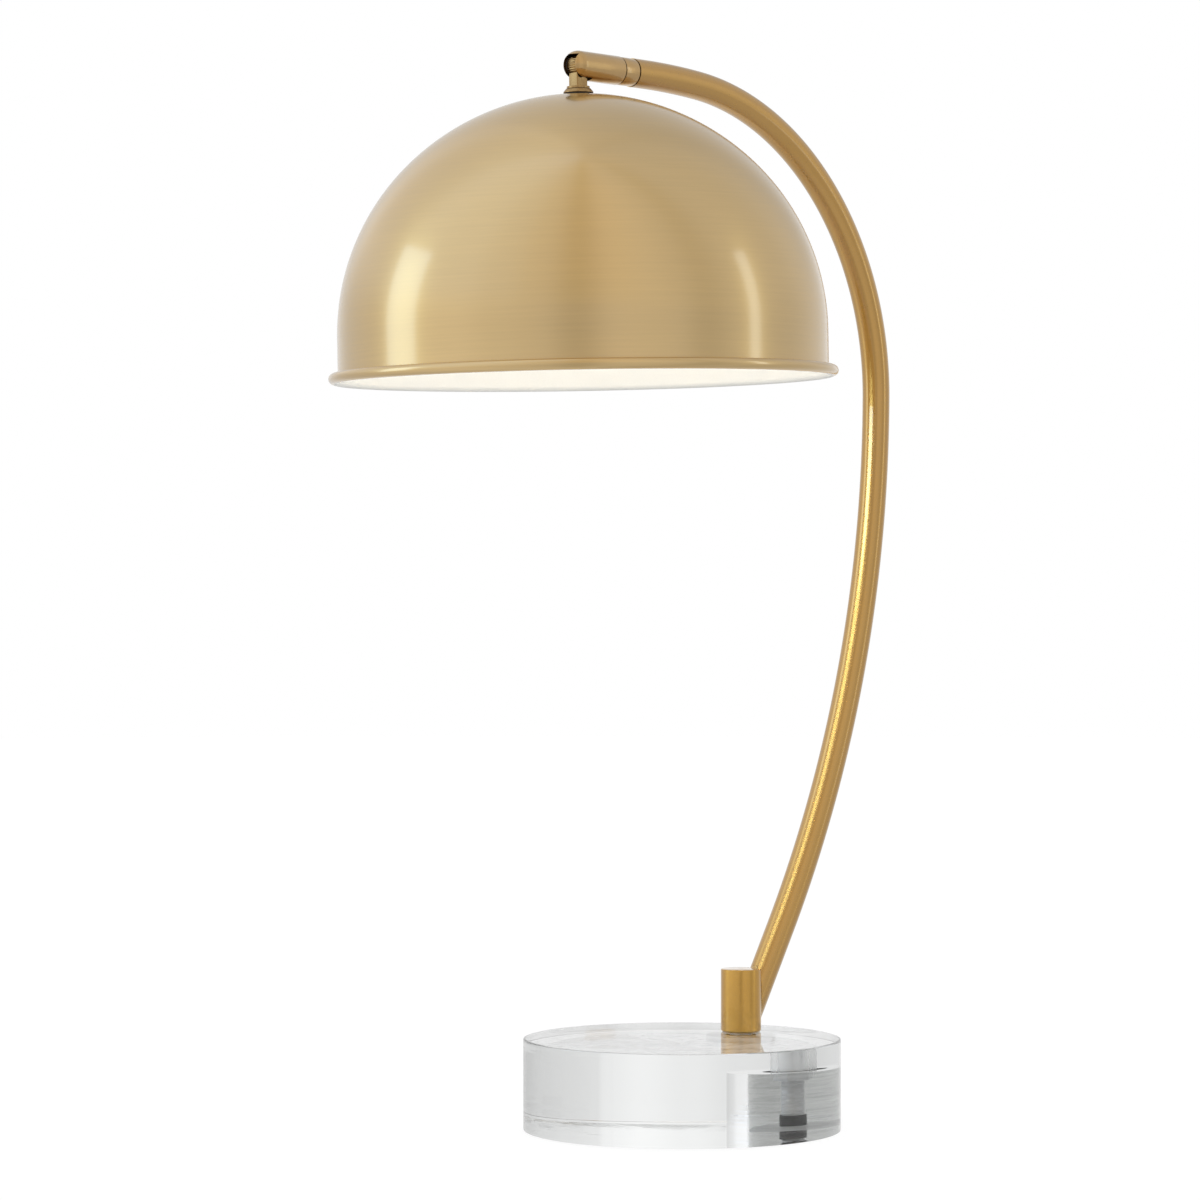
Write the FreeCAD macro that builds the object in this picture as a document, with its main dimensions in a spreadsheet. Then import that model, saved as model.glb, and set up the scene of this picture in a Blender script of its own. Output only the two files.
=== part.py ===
# Desk lamp: clear round base, bent brass arm, turning and tilting domed shade.
# Millimetres. +Z is up, the shade hangs towards -Y, and the origin is the centre of the face it rests on.
import FreeCAD, Part
import math
import os
from collections import namedtuple
from types import SimpleNamespace

import Sketcher

os.makedirs("parts", exist_ok=True)
doc = FreeCAD.newDocument("desk_lamp")

# Driving sizes, in millimetres and degrees. Each one is a cell of the sheet with its own alias.
SIZES = {
    # clear base
    "block_diameter": 177.8,
    "block_height": 50.8,
    "block_edge_chamfer": 0.8,
    "pad_diameter": 150.0,
    "pad_thickness": 1.0,
    # post and the threaded rod that holds it, in a wide well from below
    "post_setback": 48.5,
    "post_diameter": 23.0,
    "post_height": 35.8,
    "post_foot_chamfer": 1.0,
    "post_top_chamfer": 0.4,
    "well_diameter": 39.6,
    "well_depth": 32.0,
    "rod_diameter": 10.2,
    "rod_engagement": 16.0,
    "rod_end_chamfer": 0.8,
    "rod_hole_clearance": 1.3,
    "tapped_hole_runout": 2.0,
    "base_washer_diameter": 18.0,
    "base_washer_thickness": 1.5,
    "base_washer_clearance": 0.2,
    "base_nut_flats": 15.0,
    "base_nut_thickness": 4.0,
    "rod_cap_length": 6.0,
    "rod_cap_wall": 0.6,
    "rod_cap_lift": 0.6,
    # arm tube, from the post's axis at the block's top up to its level end
    "tube_diameter": 16.0,
    "tube_wall": 1.5,
    "foot_angle": 30.0,
    "foot_run": 66.4,
    "back_bend_radius": 625.0,
    "back_bend_angle": 29.6,
    "main_bend_radius": 169.0,
    "main_bend_angle": 85.0,
    "end_bend_radius": 480.0,
    "level_run": 7.75,
    "braze_gap": 0.05,
    # mains inlet low in the tube's rear wall, and the flex inside the tube
    "inlet_distance": 46.0,
    "inlet_bore_radius": 2.6,
    "inlet_sleeve_radius": 3.6,
    "inlet_sleeve_reach": 7.6,
    "inlet_flange_radius": 4.6,
    "inlet_flange_thickness": 1.0,
    "inlet_flange_level": 4.4,
    "wire_diameter": 4.4,
    "wire_start": 54.0,
    "wire_end": 13.5,
    # turning joint on the level end of the tube, measured from the tilt pin
    "knuckle_length": 30.0,
    "knuckle_diameter": 16.0,
    "knuckle_bearing_depth": 8.0,
    "knuckle_web": 3.0,
    "knuckle_well_radius": 4.45,
    "ring_length": 10.8,
    "ring_diameter": 15.5,
    "seam_gap": 0.3,
    "seam_chamfer": 0.3,
    "spigot_radius": 5.5,
    "insert_depth": 10.0,
    "turn_screw_radius": 4.0,
    "turn_screw_bore": 2.45,
    "turn_screw_length": 17.0,
    "turn_screw_head_radius": 4.35,
    "turn_screw_head_height": 2.4,
    "turn_washer_thickness": 0.8,
    # tilting joint: slot, pin, washers and the tongue between them
    "slot_width": 9.0,
    "slot_end": 7.0,
    "slot_roof": 5.7,
    "pin_radius": 2.0,
    "pin_recess": 0.4,
    "pin_far_wall": 1.8,
    "tilt_washer_radius": 4.8,
    "tilt_washer_thickness": 0.7,
    "eye_radius": 5.2,
    "eye_thickness": 7.4,
    "serration_depth": 0.4,
    "serration_count": 26,
    "stem_width": 7.0,
    "stem_depth": 8.0,
    "stem_shoulder": 4.3,
    "stem_edge_chamfer": 0.5,
    "collar_radius": 6.3,
    "collar_level": 11.6,
    "collar_thickness": 1.3,
    "shank_radius": 5.0,
    "shank_length": 19.3,
    "shank_bore": 3.0,
    "lead_hole_radius": 2.0,
    "lead_hole_level": 7.7,
    # shade, its crown fittings and rolled rim
    "rest_tilt": 1.46,
    "crown_ring_thickness": 2.4,
    "crown_ring_top_radius": 6.8,
    "crown_ring_radius": 8.2,
    "crown_ring_bevel": 1.7,
    "gasket_radius": 7.8,
    "gasket_thickness": 1.9,
    "shade_radius": 134.2,
    "dome_height": 131.4,
    "dome_join_angle": 45.0,
    "shade_wall": 0.8,
    "crown_flat_depth": 1.2,
    "skirt_height": 22.1,
    "rim_bead_radius": 3.0,
    "rim_bead_opening": 50.0,
    "inner_washer_radius": 14.0,
    "inner_washer_thickness": 1.5,
    "lock_nut_flats": 14.0,
    "lock_nut_thickness": 4.0,
    # lamp holder
    "cap_hub_radius": 8.0,
    "cap_hub_depth": 8.2,
    "cap_neck": 3.2,
    "cap_radius": 17.0,
    "cap_wall": 1.0,
    "cap_skirt": 6.0,
    "holder_radius": 15.9,
    "holder_wall": 0.6,
    "holder_overlap": 5.0,
    "holder_length": 47.0,
    "liner_wall": 0.8,
    "liner_inset": 1.5,
    "core_height": 17.5,
    "screw_shell_radius": 13.7,
    "screw_shell_mouth": 9.0,
    "screw_shell_wall": 0.5,
    "screw_shell_length": 25.7,
    "contact_radius": 4.5,
    "contact_thickness": 0.5,
    "contact_tip_radius": 2.0,
    "contact_rise": 2.4,
    "terminal_spacing": 9.0,
    "terminal_head_radius": 2.2,
    "terminal_head_height": 1.5,
    "terminal_shank_radius": 1.4,
    "terminal_shank_length": 7.0,
    "lead_radius": 0.9,
    "lead_spacing": 1.3,
    "lead_spread": 5.5,
    "lead_top": 12.6,
    "lead_bend_share": 0.25,
    # bulb
    "bulb_length": 90.0,
    "bulb_radius": 25.0,
    "bulb_wall": 0.9,
    "bulb_neck_radius": 12.2,
    "bulb_shoulder_radius": 30.0,
    "bulb_neck_depth": 8.0,
    "bulb_tip_height": 1.4,
    "bulb_tip_radius": 4.4,
    "bulb_insulator_height": 3.2,
    "bulb_insulator_radius": 11.6,
    "bulb_cap_radius": 13.05,
    "bulb_cap_wall": 0.4,
    "bulb_cap_length": 24.0,
    "bulb_thread_depth": 0.6,
    "bulb_thread_pitch": 3.63,
    "bulb_thread_turns": 4,
    "stem_flare_radius": 11.1,
    "stem_flare_thickness": 1.2,
    "stem_cone_length": 4.8,
    "stem_press_radius": 2.8,
    "stem_press_length": 20.0,
    "filament_radius": 0.5,
    "filament_foot_spacing": 1.6,
    "filament_foot_length": 1.0,
    "filament_foot_bend": 2.0,
    "filament_loop_radius": 9.0,
    # switch key
    "key_drop": 48.7,
    "key_shaft_radius": 2.0,
    "key_shaft_start": 3.0,
    "key_shaft_end": 25.0,
    "key_hole_extra": 0.4,
    "knob_start": 17.6,
    "knob_length": 12.0,
    "knob_radius": 6.5,
    "knob_edge_chamfer": 0.8,
    "knob_flute_radius": 1.2,
    "knob_flute_count": 12,
    # clearances and fits
    "running_fit": 0.05,
    "press_fit": 0.02,
    "thread_fit": 0.05,
    "side_fit": 0.05,
    "cut_overrun": 5.0,
}

sheet = doc.addObject("Spreadsheet::Sheet", "Sizes")
aliases = []


def add_cell(alias, content):
    """Gives a size the next row of the sheet: its name, and its value or formula."""
    aliases.append(alias)
    sheet.set(f"A{len(aliases)}", alias)
    sheet.set(f"B{len(aliases)}", content)
    sheet.setAlias(f"B{len(aliases)}", alias)


for alias, number in SIZES.items():
    add_cell(alias, str(number))
doc.recompute()


class Size:
    """A size worked out from the sheet: its value now, and the expression that ties it to the cells."""

    def __init__(self, value, text):
        self.value = value
        self.text = text

    def __add__(self, other):
        other = as_size(other)
        return Size(self.value + other.value, f"({self.text} + {other.text})")

    def __radd__(self, other):
        return as_size(other) + self

    def __sub__(self, other):
        other = as_size(other)
        return Size(self.value - other.value, f"({self.text} - {other.text})")

    def __rsub__(self, other):
        return as_size(other) - self

    def __mul__(self, other):
        other = as_size(other)
        return Size(self.value * other.value, f"({self.text} * {other.text})")

    def __rmul__(self, other):
        return as_size(other) * self

    def __truediv__(self, other):
        other = as_size(other)
        return Size(self.value / other.value, f"({self.text} / {other.text})")

    def __neg__(self):
        return Size(-self.value, f"(0 - {self.text})")


def as_size(amount):
    """A Size as it is, and a plain number as a Size with no cell behind it."""
    return amount if isinstance(amount, Size) else Size(float(amount), f"({float(amount)})")


def sine(angle):
    angle = as_size(angle)
    return Size(math.sin(math.radians(angle.value)), f"sin({angle.text})")


def cosine(angle):
    angle = as_size(angle)
    return Size(math.cos(math.radians(angle.value)), f"cos({angle.text})")


def root(amount):
    amount = as_size(amount)
    return Size(math.sqrt(amount.value), f"sqrt({amount.text})")


def derived(alias, amount):
    """Gives a worked-out size a cell of its own, so that the pieces can follow it by name."""
    add_cell(alias, "=" + amount.text.replace("Sizes.", ""))
    return Size(amount.value, f"Sizes.{alias}")


def third_side(hypotenuse, side):
    """The other short side of a right-angled triangle."""
    return root(hypotenuse * hypotenuse - side * side)


size = SimpleNamespace(**{alias: Size(number, f"Sizes.{alias}") for alias, number in SIZES.items()})

# An edge of an outline that runs along an arc: its centre, its radius, and whether it turns left.
Bend = namedtuple("Bend", "centre radius left")
X_AXIS = FreeCAD.Vector(1, 0, 0)
Y_AXIS = FreeCAD.Vector(0, 1, 0)
UP = FreeCAD.Vector(0, 0, 1)
HALF = 0.5
QUARTER_TURN = 90
HALF_TURN = 180
FULL_TURN = 360
HEX_SIDES = 6
HEX_TURN = 15
THREAD_SHARES = (0.25, 0.5, 0.75, 1.0)
cutters = []


def new_body(label):
    body = doc.addObject("PartDesign::Body", label)
    body.Label = label
    return body


def new_sketch(body, plane, level=None):
    """A sketch on one of the body's own origin planes, or parallel to it at a level along its normal."""
    sketch = body.newObject("Sketcher::SketchObject", f"{body.Label}_sketch")
    support = next(feature for feature in body.Origin.OriginFeatures if feature.Role == plane)
    sketch.AttachmentSupport = [(support, "")]
    sketch.MapMode = "FlatFace"
    if level is not None:
        sketch.AttachmentOffset = FreeCAD.Placement(UP * as_size(level).value, FreeCAD.Rotation())
        sketch.setExpression("AttachmentOffset.Base.z", as_size(level).text)
    return sketch


def edge_between(here, there, bend):
    """The geometry of one edge and which of its ends is the first corner."""
    start = FreeCAD.Vector(here[0].value, here[1].value, 0)
    end = FreeCAD.Vector(there[0].value, there[1].value, 0)
    if bend is None:
        return Part.LineSegment(start, end), 1, 2
    centre = FreeCAD.Vector(as_size(bend.centre[0]).value, as_size(bend.centre[1]).value, 0)
    circle = Part.Circle(centre, UP, as_size(bend.radius).value)
    first, last = (start, end) if bend.left else (end, start)
    from_angle = math.atan2(first.y - centre.y, first.x - centre.x)
    to_angle = math.atan2(last.y - centre.y, last.x - centre.x)
    if to_angle <= from_angle:
        to_angle += 2 * math.pi
    arc = Part.ArcOfCircle(circle, from_angle, to_angle)
    return (arc, 1, 2) if bend.left else (arc, 2, 1)


def fix_coordinate(sketch, kind, edge, end, amount):
    """Holds one coordinate of a corner at a size from the sheet."""
    if abs(amount.value) < 1e-9:
        axis = -2 if kind == "DistanceX" else -1
        sketch.addConstraint(Sketcher.Constraint("PointOnObject", edge, end, axis))
        return
    index = sketch.addConstraint(Sketcher.Constraint(kind, -1, 1, edge, end, amount.value))
    sketch.setExpression(f"Constraints[{index}]", amount.text)


def draw(sketch, corners, closed=True):
    """Draws an outline or a path. A corner is (x, y) or (x, y, Bend) where the edge after it is an arc."""
    points = [(as_size(corner[0]), as_size(corner[1])) for corner in corners]
    bends = [corner[2] if len(corner) > 2 else None for corner in corners]
    count = len(points) if closed else len(points) - 1
    ends = []
    for number in range(count):
        following = (number + 1) % len(points)
        geometry, first, last = edge_between(points[number], points[following], bends[number])
        edge = sketch.addGeometry(geometry, False)
        ends.append((edge, first, last))
    for number, (edge, first, last) in enumerate(ends):
        if closed or number + 1 < count:
            next_edge, next_first, _ = ends[(number + 1) % count]
            sketch.addConstraint(Sketcher.Constraint("Coincident", edge, last, next_edge, next_first))
        fix_coordinate(sketch, "DistanceX", edge, first, points[number][0])
        fix_coordinate(sketch, "DistanceY", edge, first, points[number][1])
        if bends[number] is not None:
            radius = as_size(bends[number].radius)
            index = sketch.addConstraint(Sketcher.Constraint("Radius", edge, radius.value))
            sketch.setExpression(f"Constraints[{index}]", radius.text)
    if not closed:
        edge, _, last = ends[-1]
        fix_coordinate(sketch, "DistanceX", edge, last, points[-1][0])
        fix_coordinate(sketch, "DistanceY", edge, last, points[-1][1])
    return sketch


def draw_circle(sketch, across, along, radius):
    """Draws a circle about a point of the sketch."""
    centre = FreeCAD.Vector(as_size(across).value, as_size(along).value, 0)
    edge = sketch.addGeometry(Part.Circle(centre, UP, as_size(radius).value), False)
    fix_coordinate(sketch, "DistanceX", edge, 3, as_size(across))
    fix_coordinate(sketch, "DistanceY", edge, 3, as_size(along))
    index = sketch.addConstraint(Sketcher.Constraint("Radius", edge, as_size(radius).value))
    sketch.setExpression(f"Constraints[{index}]", as_size(radius).text)
    return sketch


def draw_hexagon(sketch, flats):
    """Draws a hexagon about the origin by its width across flats."""
    corner = flats * HALF / cosine(as_size(FULL_TURN / HEX_SIDES * HALF))
    spokes = [as_size(FULL_TURN / HEX_SIDES * side + HEX_TURN) for side in range(HEX_SIDES)]
    return draw(sketch, [(corner * cosine(spoke), corner * sine(spoke)) for spoke in spokes])


def turned(label, corners, body=None):
    """Turns an outline of (radius, height) corners about the body's own Z axis."""
    body = body or new_body(label)
    profile = draw(new_sketch(body, "XZ_Plane"), corners)
    turning = body.newObject("PartDesign::Revolution", f"{label}_turning")
    turning.Profile = profile
    turning.ReferenceAxis = (profile, ["V_Axis"])
    turning.Angle = FULL_TURN
    return body


def sleeve(label, inner, outer, low, high):
    """A plain round sleeve, washer or disc between two heights."""
    return turned(label, [(inner, low), (outer, low), (outer, high), (inner, high)])


def extrude(body, kind, sketch, length, symmetric=False):
    """Pads or pockets a sketch along its plane's normal."""
    feature = body.newObject(f"PartDesign::{kind}", f"{body.Label}_{kind.lower()}")
    feature.Profile = sketch
    feature.Length = as_size(length).value
    feature.setExpression("Length", as_size(length).text)
    if symmetric:
        feature.SideType = "Symmetric"
    elif kind == "Pocket":
        feature.Reversed = True
    if kind == "Pocket":
        cutters.append(feature)
    return feature


def drill(body, plane, across, along, radius, start, depth):
    """Cuts a round hole from a level along the plane's normal, for a depth along it."""
    sketch = draw_circle(new_sketch(body, plane, start), across, along, radius)
    return extrude(body, "Pocket", sketch, depth)


def place(item, across=0, along=0, height=0, axis=UP, angle=None):
    """Places a finished piece, with its position tied to the sheet."""
    spot = [as_size(across), as_size(along), as_size(height)]
    turn = as_size(0 if angle is None else angle)
    base = FreeCAD.Vector(*[amount.value for amount in spot])
    item.Placement = FreeCAD.Placement(base, FreeCAD.Rotation(axis, turn.value))
    for letter, amount in zip("xyz", spot):
        item.setExpression(f"Placement.Base.{letter}", amount.text)
    if angle is not None:
        item.setExpression("Placement.Rotation.Angle", turn.text)
    return item


def group(label, items):
    """Several separate solids that share one name."""
    compound = doc.addObject("Part::Compound", label)
    compound.Label = label
    compound.Links = items
    return compound


# Levels and radii that several pieces share
block_radius = size.block_diameter * HALF
block_top = size.pad_thickness + size.block_height
post_radius = size.post_diameter * HALF
post_top = block_top + size.post_height
tube_radius = size.tube_diameter * HALF
tube_bore = tube_radius - size.tube_wall
rod_radius = size.rod_diameter * HALF
knuckle_radius = size.knuckle_diameter * HALF
pieces = []

# Base pad: thin clear non-slip disc that the lamp rests on
pieces.append(sleeve("base_pad", 0, size.pad_diameter * HALF, 0, size.pad_thickness))

# Base block: thick clear disc with a narrow hole for the rod and a wide well under it
edge = size.block_edge_chamfer
base_block = turned("base_block", [
    (0, size.pad_thickness),
    (block_radius - edge, size.pad_thickness),
    (block_radius, size.pad_thickness + edge),
    (block_radius, block_top - edge),
    (block_radius - edge, block_top),
    (0, block_top),
])
well_roof = size.pad_thickness + size.well_depth
drill(base_block, "XY_Plane", 0, size.post_setback, rod_radius + size.rod_hole_clearance,
      0, block_top + size.cut_overrun)
drill(base_block, "XY_Plane", 0, size.post_setback, size.well_diameter * HALF, 0, well_roof)
pieces.append(base_block)

# Base rod: threaded rod from the post down through the hole and the well
rod_cap_low = size.pad_thickness + size.rod_cap_lift
rod_low = rod_cap_low + size.rod_cap_wall
rod_high = block_top + size.rod_engagement
rod_edge = size.rod_end_chamfer
base_rod = turned("base_rod", [
    (0, rod_low),
    (rod_radius - rod_edge, rod_low),
    (rod_radius, rod_low + rod_edge),
    (rod_radius, rod_high - rod_edge),
    (rod_radius - rod_edge, rod_high),
    (0, rod_high),
])
pieces.append(place(base_rod, 0, size.post_setback))

# Washer and nut that clamp the block, seated on the well's roof
washer_low = well_roof - size.base_washer_thickness
pieces.append(place(sleeve("base_washer", rod_radius + size.base_washer_clearance,
                           size.base_washer_diameter * HALF, washer_low, well_roof),
                    0, size.post_setback))
base_nut = new_body("base_nut")
base_nut_sketch = new_sketch(base_nut, "XY_Plane", washer_low - size.base_nut_thickness)
draw_hexagon(base_nut_sketch, size.base_nut_flats)
draw_circle(base_nut_sketch, 0, 0, rod_radius + size.thread_fit)
extrude(base_nut, "Pad", base_nut_sketch, size.base_nut_thickness)
pieces.append(place(base_nut, 0, size.post_setback))

# Rod cap: thin dark cap over the rod's lower end
rod_cap_bore = rod_radius + size.press_fit
pieces.append(place(turned("rod_cap", [
    (0, rod_cap_low),
    (rod_radius + size.rod_cap_wall, rod_cap_low),
    (rod_radius + size.rod_cap_wall, rod_cap_low + size.rod_cap_length),
    (rod_cap_bore, rod_cap_low + size.rod_cap_length),
    (rod_cap_bore, rod_low),
    (0, rod_low),
]), 0, size.post_setback))

# Post: short round bar with a tapped hole in its foot
post = turned("post", [
    (0, block_top),
    (post_radius - size.post_foot_chamfer, block_top),
    (post_radius, block_top + size.post_foot_chamfer),
    (post_radius, post_top - size.post_top_chamfer),
    (post_radius - size.post_top_chamfer, post_top),
    (0, post_top),
])
drill(post, "XY_Plane", 0, 0, rod_radius + size.thread_fit, block_top,
      size.rod_engagement + size.tapped_hole_runout)
pieces.append(place(post, 0, size.post_setback))


# Arm centre line in the (Y, Z) plane: a leaning foot, three tangent bends and a short level end
heading = size.foot_angle
bend_y = size.post_setback + size.foot_run * sine(heading)
bend_z = block_top + size.foot_run * cosine(heading)
end_bend_angle = size.foot_angle + QUARTER_TURN - size.back_bend_angle - size.main_bend_angle
arm_corners = []
for name, radius, angle in (
    ("back", size.back_bend_radius, size.back_bend_angle),
    ("main", size.main_bend_radius, size.main_bend_angle),
    ("end", size.end_bend_radius, end_bend_angle),
):
    bend_y = derived(f"{name}_bend_y", bend_y)
    bend_z = derived(f"{name}_bend_z", bend_z)
    centre_y = derived(f"{name}_bend_centre_y", bend_y - radius * cosine(heading))
    centre_z = derived(f"{name}_bend_centre_z", bend_z + radius * sine(heading))
    arm_corners.append((bend_y, bend_z, Bend((centre_y, centre_z), radius, True)))
    heading = heading - angle
    bend_y = centre_y + radius * cosine(heading)
    bend_z = centre_z - radius * sine(heading)
level_start = derived("level_start", bend_y)
arm_height = derived("arm_height", bend_z)
arm_corners.append((level_start, arm_height))

# Where the tilt pin comes, past the tube's open end, the ring and the knuckle
ring_front = size.knuckle_length + size.seam_gap
ring_back = ring_front + size.ring_length
tube_mouth = ring_back + size.seam_gap
tube_end = derived("tube_end", level_start - size.level_run)
pivot_place = derived("pivot_place", tube_end - tube_mouth)


def swept(label, start, finish, radii):
    """A round tube or rod swept along the arm's centre line."""
    body = new_body(label)
    foot = [as_size(0), size.post_setback + start * sine(size.foot_angle),
            block_top + start * cosine(size.foot_angle)]
    corners = [(foot[1], foot[2])] + arm_corners + [(finish, arm_height)]
    path = draw(new_sketch(body, "YZ_Plane"), corners, closed=False)
    section = new_sketch(body, "XY_Plane")
    base = FreeCAD.Vector(*[amount.value for amount in foot])
    lean = FreeCAD.Rotation(-X_AXIS, size.foot_angle.value)
    section.AttachmentOffset = FreeCAD.Placement(base, lean)
    for letter, amount in zip("xyz", foot):
        section.setExpression(f"AttachmentOffset.Base.{letter}", amount.text)
    section.setExpression("AttachmentOffset.Rotation.Angle", size.foot_angle.text)
    for radius in radii:
        draw_circle(section, 0, 0, radius)
    doc.recompute()
    sweep = body.newObject("PartDesign::AdditivePipe", f"{label}_sweep")
    sweep.Profile = section
    sweep.Spine = path
    return body


# Arm tube: mitred round the post's rear side and brazed to it, open at its level end
arm_tube = swept("arm_tube", as_size(0), tube_end, [tube_radius, tube_bore])
drill(arm_tube, "XY_Plane", 0, size.post_setback, post_radius + size.braze_gap,
      block_top - size.cut_overrun, size.post_height + size.cut_overrun)
inlet_spot = [as_size(0), size.post_setback + size.inlet_distance * sine(size.foot_angle),
              block_top + size.inlet_distance * cosine(size.foot_angle)]
inlet_angle = QUARTER_TURN + size.foot_angle
inlet_sketch = new_sketch(arm_tube, "XY_Plane")
inlet_sketch.AttachmentOffset = FreeCAD.Placement(
    FreeCAD.Vector(*[amount.value for amount in inlet_spot]),
    FreeCAD.Rotation(-X_AXIS, inlet_angle.value),
)
for letter, amount in zip("xyz", inlet_spot):
    inlet_sketch.setExpression(f"AttachmentOffset.Base.{letter}", amount.text)
inlet_sketch.setExpression("AttachmentOffset.Rotation.Angle", inlet_angle.text)
draw_circle(inlet_sketch, 0, 0, size.inlet_sleeve_radius + size.running_fit)
extrude(arm_tube, "Pocket", inlet_sketch, size.tube_diameter)
pieces.append(arm_tube)

# Cord bushing: insulating sleeve in the inlet, flanged inside the tube
flange_low = size.inlet_flange_level - size.inlet_flange_thickness
cord_bushing = turned("cord_bushing", [
    (size.inlet_bore_radius, flange_low),
    (size.inlet_flange_radius, flange_low),
    (size.inlet_flange_radius, size.inlet_flange_level),
    (size.inlet_sleeve_radius, size.inlet_flange_level),
    (size.inlet_sleeve_radius, size.inlet_sleeve_reach),
    (size.inlet_bore_radius, size.inlet_sleeve_reach),
])
pieces.append(place(cord_bushing, *inlet_spot, axis=-X_AXIS, angle=inlet_angle))

# Arm wire: flex that runs up the tube and through the hollow screw
pieces.append(swept("arm_wire", size.wire_start, pivot_place + size.wire_end,
                    [size.wire_diameter * HALF]))


def on_arm_axis(item):
    """Places a piece made about Z so that its Z runs from the tilt pin back along the tube."""
    return place(item, 0, pivot_place, arm_height, axis=-X_AXIS, angle=QUARTER_TURN)


# Arm insert: plug brazed in the tube's end, with the spigot that the ring and knuckle turn on
knuckle_back = size.knuckle_length
web_back = knuckle_back - size.knuckle_bearing_depth
web_front = web_back - size.knuckle_web
insert_bore = size.turn_screw_radius + size.thread_fit
pieces.append(on_arm_axis(turned("arm_insert", [
    (insert_bore, web_back + size.seam_gap),
    (size.spigot_radius, web_back + size.seam_gap),
    (size.spigot_radius, tube_mouth),
    (tube_bore - size.press_fit, tube_mouth),
    (tube_bore - size.press_fit, tube_mouth + size.insert_depth),
    (insert_bore, tube_mouth + size.insert_depth),
])))

# Swivel ring: loose cover ring between the knuckle and the tube
ring_radius = size.ring_diameter * HALF
pieces.append(on_arm_axis(turned("swivel_ring", [
    (size.spigot_radius + size.running_fit, ring_front),
    (ring_radius - size.seam_chamfer, ring_front),
    (ring_radius, ring_front + size.seam_chamfer),
    (ring_radius, ring_back - size.seam_chamfer),
    (ring_radius - size.seam_chamfer, ring_back),
    (size.spigot_radius + size.running_fit, ring_back),
])))

# Turn screw and its spring washer: they hold the knuckle to the insert and set how stiffly it turns
screw_seat = web_front - size.turn_washer_thickness
screw_tip = screw_seat + size.turn_screw_length
screw_front = screw_seat - size.turn_screw_head_height
pieces.append(on_arm_axis(turned("turn_screw", [
    (size.turn_screw_bore, screw_front),
    (size.turn_screw_head_radius, screw_front),
    (size.turn_screw_head_radius, screw_seat),
    (size.turn_screw_radius, screw_seat),
    (size.turn_screw_radius, screw_tip),
    (size.turn_screw_bore, screw_tip),
])))
pieces.append(on_arm_axis(sleeve("turn_washer", size.turn_screw_radius + size.running_fit,
                                 size.turn_screw_head_radius, screw_seat, web_front)))

# Knuckle: round body with a domed end, bored from behind, slotted at the front and below
knuckle = turned("knuckle", [
    (0, -knuckle_radius, Bend((0, 0), knuckle_radius, True)),
    (knuckle_radius, 0),
    (knuckle_radius, knuckle_back - size.seam_chamfer),
    (knuckle_radius - size.seam_chamfer, knuckle_back),
    (0, knuckle_back),
])
screw_hole = size.turn_screw_radius + size.running_fit
drill(knuckle, "XY_Plane", 0, 0, size.spigot_radius + size.running_fit, web_back,
      size.knuckle_bearing_depth)
drill(knuckle, "XY_Plane", 0, 0, screw_hole, web_front - size.cut_overrun,
      size.knuckle_web + 2 * size.cut_overrun)
drill(knuckle, "XY_Plane", 0, 0, size.knuckle_well_radius, size.slot_end - size.cut_overrun,
      web_front - size.slot_end + size.cut_overrun)
slot_sketch = new_sketch(knuckle, "YZ_Plane")
outside = size.knuckle_diameter
draw(slot_sketch, [(-size.slot_roof, -outside), (outside, -outside), (outside, size.slot_end),
                   (-size.slot_roof, size.slot_end)])
extrude(knuckle, "Pocket", slot_sketch, size.slot_width, symmetric=True)
pin_blind_end = knuckle_radius - size.pin_far_wall
drill(knuckle, "YZ_Plane", 0, 0, size.pin_radius + size.press_fit, -knuckle_radius,
      knuckle_radius + pin_blind_end)
pieces.append(on_arm_axis(knuckle))

# Tilt pin: pressed in from the far side, blind on the near one
pin = sleeve("tilt_pin", 0, size.pin_radius, size.pin_recess - knuckle_radius,
             pin_blind_end - size.side_fit)
pieces.append(place(pin, 0, pivot_place, arm_height, axis=Y_AXIS, angle=QUARTER_TURN))

# Tilt washers: one friction washer on each side of the tongue
half_slot = size.slot_width * HALF
washers = []
for side, inner_face in ((1, half_slot - size.side_fit - size.tilt_washer_thickness),
                         (-1, size.side_fit - half_slot)):
    washer = sleeve(f"tilt_washer_{'right' if side > 0 else 'left'}", size.pin_radius + size.running_fit,
                    size.tilt_washer_radius, inner_face, inner_face + size.tilt_washer_thickness)
    washers.append(place(washer, 0, pivot_place, arm_height, axis=Y_AXIS, angle=QUARTER_TURN))
pieces.append(group("tilt_washers", washers))


def hanging(item):
    """Places a piece of the head: its Z runs from the tilt pin down through the shade."""
    return place(item, 0, pivot_place, arm_height, axis=X_AXIS, angle=HALF_TURN + size.rest_tilt)


# Levels of the head, measured from the tilt pin down through the shade
collar_low = size.collar_level + size.collar_thickness
ring_low = collar_low + size.crown_ring_thickness
crown_top = ring_low + size.gasket_thickness
crown_inside = crown_top + size.shade_wall
nut_top = crown_inside + size.inner_washer_thickness
cap_top = nut_top + size.lock_nut_thickness
shank_end = collar_low + size.shank_length
thread_bore = size.shank_radius + size.thread_fit

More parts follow.
